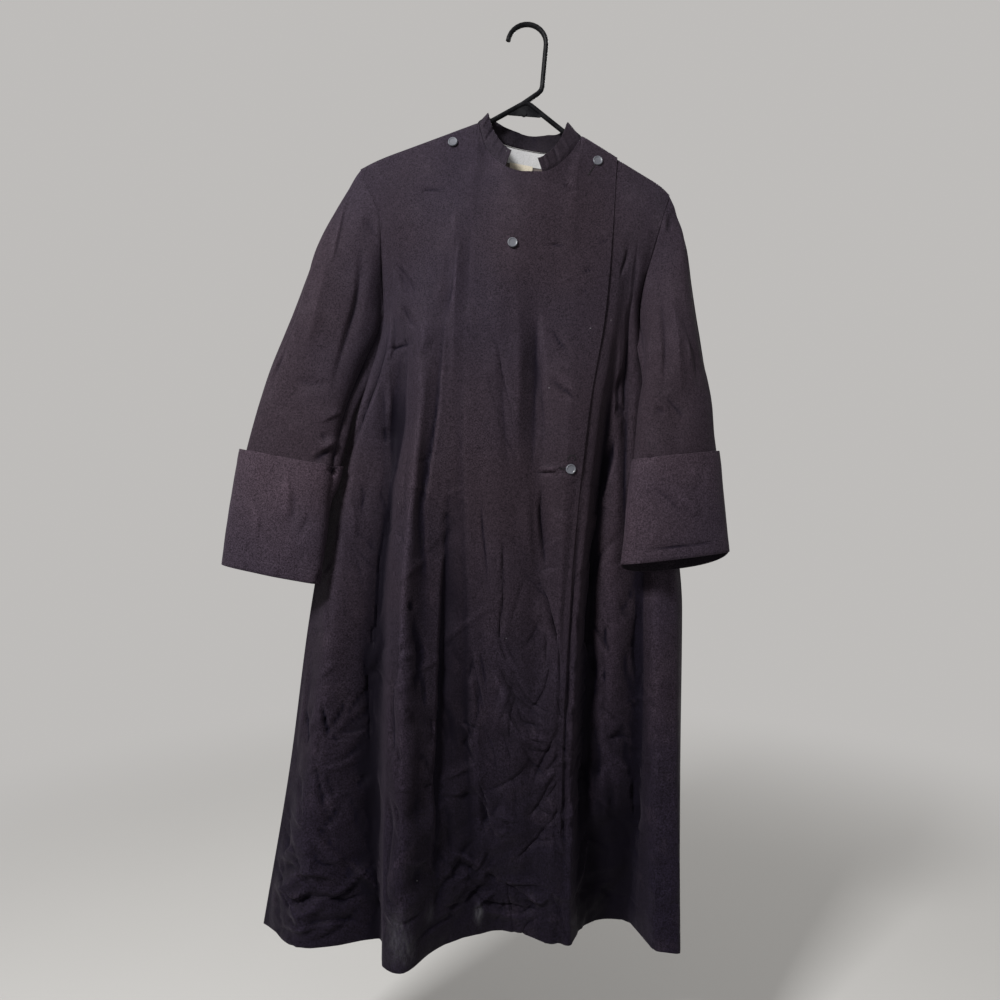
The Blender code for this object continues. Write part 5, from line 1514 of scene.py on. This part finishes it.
def clothMaterial(name, **changes):
    # twill lines from two sines of the cloth's own map, over slubs, streaks and patches,
    # with painted shade in the folds' troughs, recesses and (partly dirt) towards the hem, and painted
    # highlight on the ridges
    settings = dict(clothFinish, **changes)
    f = Finish(name)
    place = f.node("ShaderNodeTexCoord").outputs["Object"]
    flat = f.node("ShaderNodeUVMap", uv_map="clothMap").outputs[0]
    parts = f.node("ShaderNodeSeparateXYZ", {0: place})
    across = f.node("ShaderNodeSeparateXYZ", {0: flat})
    turns = 2 * math.pi / settings["thread"]
    u = f.math("MULTIPLY", across.outputs[0], turns)
    v = f.math("MULTIPLY", across.outputs[1], turns)
    warp = f.math("SINE", f.math("ADD", u, f.math("MULTIPLY", v, 0.7)))
    weft = f.math("SINE", f.math("SUBTRACT", v, f.math("MULTIPLY", u, 0.2)))
    weave = f.math("ADD", warp, f.math("MULTIPLY", weft, 0.6))
    slub = f.ramp(f.noise(place, settings["slubScale"], 3.0, 0.75), 0.30, 0.70)
    patch = f.noise(place, settings["patchScale"], 2.0, 0.5)
    drawn = f.node("ShaderNodeMapping", {0: flat, 3: (900.0, 30.0, 1.0)}).outputs[0]
    streak = f.noise(drawn, 1.0, 2.0, 0.6)
    rubbed = f.noise(place, settings["rubbedScale"], 4.0, 0.62)
    fold = f.node("ShaderNodeAttribute", attribute_name="foldHeight").outputs["Fac"]
    recess = f.node("ShaderNodeAttribute", attribute_name="recess").outputs["Fac"]
    low = f.ramp(parts.outputs[2], *settings["lowBetween"])
    wear = f.math("MULTIPLY", f.ramp(rubbed, 0.50, 0.80), settings["rubbedShare"])
    colour = f.mix(f.ramp(patch, 0.30, 0.72), settings["warm"], settings["cool"])
    # painted shade, partly dirt: the cloth darker and bluer towards the hem
    colour = f.mix(f.math("MULTIPLY", low, settings["hemShadeAndDirtShare"]), colour, settings["low"])
    colour = f.mix(wear, colour, settings["worn"])
    grain = f.math("MULTIPLY", slub, f.ramp(parts.outputs[2], *settings["lowBetween"], *settings["slub"]))
    ground = f.ramp(parts.outputs[2], *settings["lowBetween"], *settings["ground"])
    shade = f.math("ADD", grain, f.math("MULTIPLY", streak, settings["streak"]))
    shade = f.math("ADD", f.math("ADD", shade, ground), f.math("MULTIPLY", weave, settings["weave"]))
    # painted shade in the troughs and at the bottoms of the large folds, painted highlight on the ridges
    trough = f.ramp(fold, 0.0, -settings["foldRange"], 0.0, settings["troughShadeShare"])
    ridgeHighlight = f.ramp(fold, 0.0, settings["foldRange"], 1.0, settings["ridgeHighlightGain"])
    bottom = f.ramp(recess, *settings["recessBetween"], 0.0, settings["recessShadeShare"])
    colour = f.mix(trough, colour, settings["deep"])
    colour = multiplyColour(f, colour, f.math("MULTIPLY", shade, ridgeHighlight))
    colour = f.mix(bottom, colour, settings["deepest"])
    colour = hemMarks(f, colour, place, parts.outputs[1], settings)
    colour = lintSpecks(f, colour, place, settings)
    normal = clothBumps(f, place, low, weave)
    if settings["stitch"]:
        colour, normal = stitchRow(f, colour, normal, across.outputs[0], settings)
    f.join(colour, f.shader.inputs["Base Color"])
    f.join(f.ramp(rubbed, 0.3, 0.7, 0.66, 0.52), f.shader.inputs["Roughness"])
    f.join(normal, f.shader.inputs["Normal"])
    f.shader.inputs["Sheen Weight"].default_value = settings["sheen"]
    f.shader.inputs["Sheen Roughness"].default_value = 0.5
    f.shader.inputs["Sheen Tint"].default_value = (0.84, 0.70, 0.90, 1)
    f.shader.inputs["Specular IOR Level"].default_value = 0.05
    f.shader.inputs["Specular Tint"].default_value = (1.0, 0.84, 1.0, 1)
    return f.material


# the sleeves' cloth: a slightly lighter copy of the cassock cloth, painted light, with hardly any of its
# darkening towards the hem
sleeveLitFinish = {
    "warm": (0.0160, 0.0113, 0.0148, 1),
    "cool": (0.0134, 0.0104, 0.0156, 1),
    "low": (0.0150, 0.0104, 0.0142, 1),
    "marks": (),
}
# the cuffs' cloth: a much lighter copy, painted light where the turned-up cuffs catch the light from the
# upper left
cuffLitFinish = dict(sleeveLitFinish, warm=(0.0262, 0.0184, 0.0242, 1), cool=(0.0170, 0.0132, 0.0196, 1),
                  stitch=0.020)
# the collar's cloth: a darker copy of the cassock cloth, painted shade on the collar band
collarShadeFinish = {
    "warm": (0.0112, 0.0080, 0.0106, 1),
    "cool": (0.0092, 0.0074, 0.0108, 1),
    "marks": (),
}
# the wrong side of the cloth: a darker copy of the cassock cloth, painted shade of the garment's inside
wrongSideShadeFinish = {
    "warm": (0.0075, 0.0060, 0.0078, 1),
    "cool": (0.0064, 0.0054, 0.0074, 1),
    "marks": (),
}
facingFinish = {
    "warm": (0.082, 0.068, 0.062, 1),
    "cool": (0.070, 0.060, 0.056, 1),
    "low": (0.074, 0.063, 0.058, 1),
    "worn": (0.09, 0.08, 0.075, 1),
    "marks": (),
    "slub": (0.4, 0.4),
    "ground": (0.62, 0.62),
}
labelFinish = {
    "warm": (0.30, 0.295, 0.29, 1),
    "cool": (0.27, 0.27, 0.275, 1),
    "low": (0.28, 0.28, 0.28, 1),
    "worn": (0.33, 0.33, 0.33, 1),
    "marks": (),
    "thread": 0.0005,
    "troughShadeShare": 0.0,
    "ridgeHighlightGain": 1.0,
    "recessShadeShare": 0.0,
    "slub": (0.22, 0.22),
    "ground": (0.74, 0.74),
}
tagFinish = dict(labelFinish, warm=(0.33, 0.30, 0.235, 1), cool=(0.34, 0.305, 0.245, 1),
                 low=(0.33, 0.30, 0.24, 1), worn=(0.36, 0.33, 0.27, 1))

print("cassock: finishes")
cassockCloth = clothMaterial("cassockCloth")
sleeveCloth = clothMaterial("sleeveCloth", **sleeveLitFinish)
cuffCloth = clothMaterial("cuffCloth", **cuffLitFinish)
wrongSideShaded = clothMaterial("wrongSideShaded", **wrongSideShadeFinish)
collarCloth = clothMaterial("collarCloth", **collarShadeFinish)
facingCloth = clothMaterial("facingCloth", **facingFinish)
labelCloth = clothMaterial("labelCloth", **labelFinish)
tagCloth = clothMaterial("tagCloth", **tagFinish)


hardFinish = {
    "hangerPlastic": {"colour": (0.0026, 0.0026, 0.0032), "roughness": 0.26, "coat": 0.0, "shine": 0.05,
                      "grain": 300.0},
    "buttonPlastic": {"colour": (0.056, 0.058, 0.068), "roughness": 0.40, "coat": 0.1, "shine": 0.28,
                      "grain": 700.0},
    "holeThread": {"colour": (0.0072, 0.0056, 0.0072), "roughness": 0.70, "coat": 0.0, "shine": 0.10,
                   "grain": 900.0},
}


def hardMaterial(name):
    # cloudy colour, upright scuffs in the roughness and a fine grain
    settings = hardFinish[name]
    f = Finish(name)
    place = f.node("ShaderNodeTexCoord").outputs["Object"]
    cloud = f.ramp(f.noise(place, 60.0, 3.0, 0.55), 0.35, 0.75)
    drawn = f.node("ShaderNodeMapping", {0: place, 3: (900.0, 900.0, 260.0)}).outputs[0]
    scuff = f.noise(drawn, 1.0, 2.0, 0.6)
    colour, roughness = settings["colour"], settings["roughness"]
    lighter = tuple(min(1.0, c * 1.5 + 0.004) for c in colour) + (1,)
    f.join(f.mix(cloud, (*colour, 1), lighter), f.shader.inputs["Base Color"])
    f.join(f.ramp(scuff, 0.3, 0.75, roughness, roughness + 0.18), f.shader.inputs["Roughness"])
    f.join(f.bump(f.noise(place, settings["grain"], 2.0, 0.5), 0.2, 0.0002), f.shader.inputs["Normal"])
    f.shader.inputs["Coat Weight"].default_value = settings["coat"]
    f.shader.inputs["Coat Roughness"].default_value = 0.18
    f.shader.inputs["Specular IOR Level"].default_value = settings["shine"]
    return f.material


hangerPlastic = hardMaterial("hangerPlastic")
buttonPlastic = hardMaterial("buttonPlastic")
holeThread = hardMaterial("holeThread")


def giveFinish(item, *finishes):
    # the second finish, where there is one, is that of the wrong side of the cloth
    sides = np.zeros(len(item.data.polygons), np.int32)
    item.data.polygons.foreach_get("material_index", sides)
    item.data.materials.clear()
    for finish in finishes:
        item.data.materials.append(finish)
    item.data.polygons.foreach_set("material_index", np.minimum(sides, len(finishes) - 1).astype(np.int32))


for name in ("hanger", "button_shoulder_right", "button_shoulder_left", "button_chest", "button_waist"):
    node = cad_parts[name]
    for slot in node.material_slots:
        slot.material = hangerPlastic if name == "hanger" else buttonPlastic

clothPieces = (
    # piece, CAD node, slot, finish, flat width and length in m, cut area, held, rests on
    (fronts["overlapFront"], "front_right", "cassock_cloth", cassockCloth,
     (0.60, 1.31), 0.60, "hung", ["hanger"]),
    (fronts["underlapFront"], "front_left", "cassock_cloth", cassockCloth,
     (0.42, 1.29), 0.39, "hung", ["hanger"]),
    (backPart["back"], "back", "cassock_cloth", cassockCloth,
     (0.80, 1.31), 0.74, "hung", ["hanger"]),
    (sleeves["right"][0], "sleeve_right", "cassock_cloth", sleeveCloth,
     (0.46, 0.65), 0.19, "hung", ["back", "front_right"]),
    (sleeves["left"][0], "sleeve_left", "cassock_cloth", sleeveCloth,
     (0.40, 0.61), 0.145, "hung", ["back", "front_left"]),
    (sleeves["right"][1], "cuff_right", "cassock_cloth", cuffCloth,
     (0.37, 0.19), 0.066, "folded", ["sleeve_right"]),
    (sleeves["left"][1], "cuff_left", "cassock_cloth", cuffCloth,
     (0.36, 0.17), 0.058, "folded", ["sleeve_left"]),
    (collar, "collar", "cassock_cloth", collarCloth,
     (0.46, 0.034), 0.0112, "hung", ["back", "front_right"]),
    (neckPieces["facing"], "neck_facing", "facing_cloth", facingCloth,
     (0.19, 0.095), 0.0165, "hung", ["back"]),
    (neckPieces["label"], "neck_label", "label_cloth", labelCloth,
     (0.065, 0.025), None, "hung", ["back"]),
    (neckPieces["tag"], "size_tag", "tag_cloth", tagCloth,
     (0.036, 0.0155), None, "hung", ["back"]),
)
for welt in welts:
    giveFinish(welt, holeThread)
    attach(welt, "root")
for item, node, slot, finish, flat, area, held, under in clothPieces:
    if slot == "cassock_cloth":
        giveFinish(item, finish, wrongSideShaded)
    else:
        giveFinish(item, finish)
    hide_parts(node)
    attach(item, "root")
    print("cassock:", item.name, "with", len(item.data.polygons), "faces")


studio = {
    "floorZ": -1.78,
    "floorRadius": 4.5,
    "floorFade": (1.0, 2.6),        # the floor melts into the pale room between these radii
    "floor": (0.40, 0.394, 0.383, 1),
    "floorSides": 96,
    "world": (0.63, 0.615, 0.60, 1),
    "worldStrength": 0.82,
    "camera": (-0.0439, -1.220, -0.7684),
    "lens": 27.04,
    # name, place, aim, size, watts
    "lights": (
        ("keyLight", (-1.22, -1.55, 0.72), (-0.05, 0.0, -0.65), 0.45, 118.0),
        ("fillLight", (1.9, -1.2, 0.2), (0.0, 0.0, -0.9), 1.2, 4.0),
        ("rearLight", (0.9, 2.2, 1.1), (0.0, 0.0, -0.7), 1.2, 30.0),
    ),
}


def makeFloor():
    # a round floor whose rim gives off the room's own light, so no horizon shows
    sides = studio["floorSides"]
    turn = 2 * math.pi * np.arange(sides) / sides
    rim = np.stack([np.cos(turn), np.sin(turn), 0 * turn], axis=-1) * studio["floorRadius"]
    rim[:, 2] = studio["floorZ"]
    mesh = bpy.data.meshes.new("floor")
    mesh.from_pydata(rim.tolist(), [], [list(range(sides))])
    floor = bpy.data.objects.new("floor", mesh)
    bpy.context.scene.collection.objects.link(floor)
    f = Finish("floorPaint")
    place = f.node("ShaderNodeTexCoord").outputs["Object"]
    darker = tuple(c * 0.95 for c in studio["floor"][:3]) + (1,)
    f.join(f.mix(f.noise(place, 1.5, 3.0), studio["floor"], darker), f.shader.inputs["Base Color"])
    f.shader.inputs["Roughness"].default_value = 0.9
    glow = f.node("ShaderNodeEmission", {"Color": studio["world"], "Strength": studio["worldStrength"]})
    level = f.node("ShaderNodeVectorMath", {0: place, 1: (1, 1, 0)}, operation="MULTIPLY")
    away = f.node("ShaderNodeVectorMath", {0: level.outputs[0]}, operation="LENGTH")
    fade = f.node("ShaderNodeMixShader", {0: f.ramp(away.outputs["Value"], *studio["floorFade"]),
                                          1: f.shader.outputs[0], 2: glow.outputs[0]})
    f.join(fade.outputs[0], f.tree.nodes["Material Output"].inputs["Surface"])
    giveFinish(floor, f.material)


def makeStudio():
    # the floor, the pale room, three lamps turned to their aims, and a level camera
    makeFloor()
    world = bpy.data.worlds.new("paleRoom")
    world.use_nodes = True
    world.node_tree.nodes["Background"].inputs[0].default_value = studio["world"]
    world.node_tree.nodes["Background"].inputs[1].default_value = studio["worldStrength"]
    bpy.context.scene.world = world
    for name, place, aim, size, energy in studio["lights"]:
        light = bpy.data.lights.new(name, "AREA")
        light.size = size
        light.energy = energy
        item = bpy.data.objects.new(name, light)
        item.location = place
        item.visible_camera = False
        aimed = np.array(aim) - np.array(place)
        item.rotation_euler = (math.atan2(np.hypot(aimed[0], aimed[1]), -aimed[2]), 0.0,
                               math.atan2(-aimed[0], aimed[1]))
        bpy.context.scene.collection.objects.link(item)
    camera = bpy.data.cameras.new("camera")
    camera.lens = studio["lens"]
    camera.sensor_width = 36.0
    item = bpy.data.objects.new("camera", camera)
    item.location = studio["camera"]
    item.rotation_euler = (math.pi / 2, 0.0, 0.0)
    bpy.context.scene.collection.objects.link(item)
    bpy.context.scene.camera = item
    bpy.context.scene.view_settings.view_transform = "Standard"


print("cassock: studio")
makeStudio()
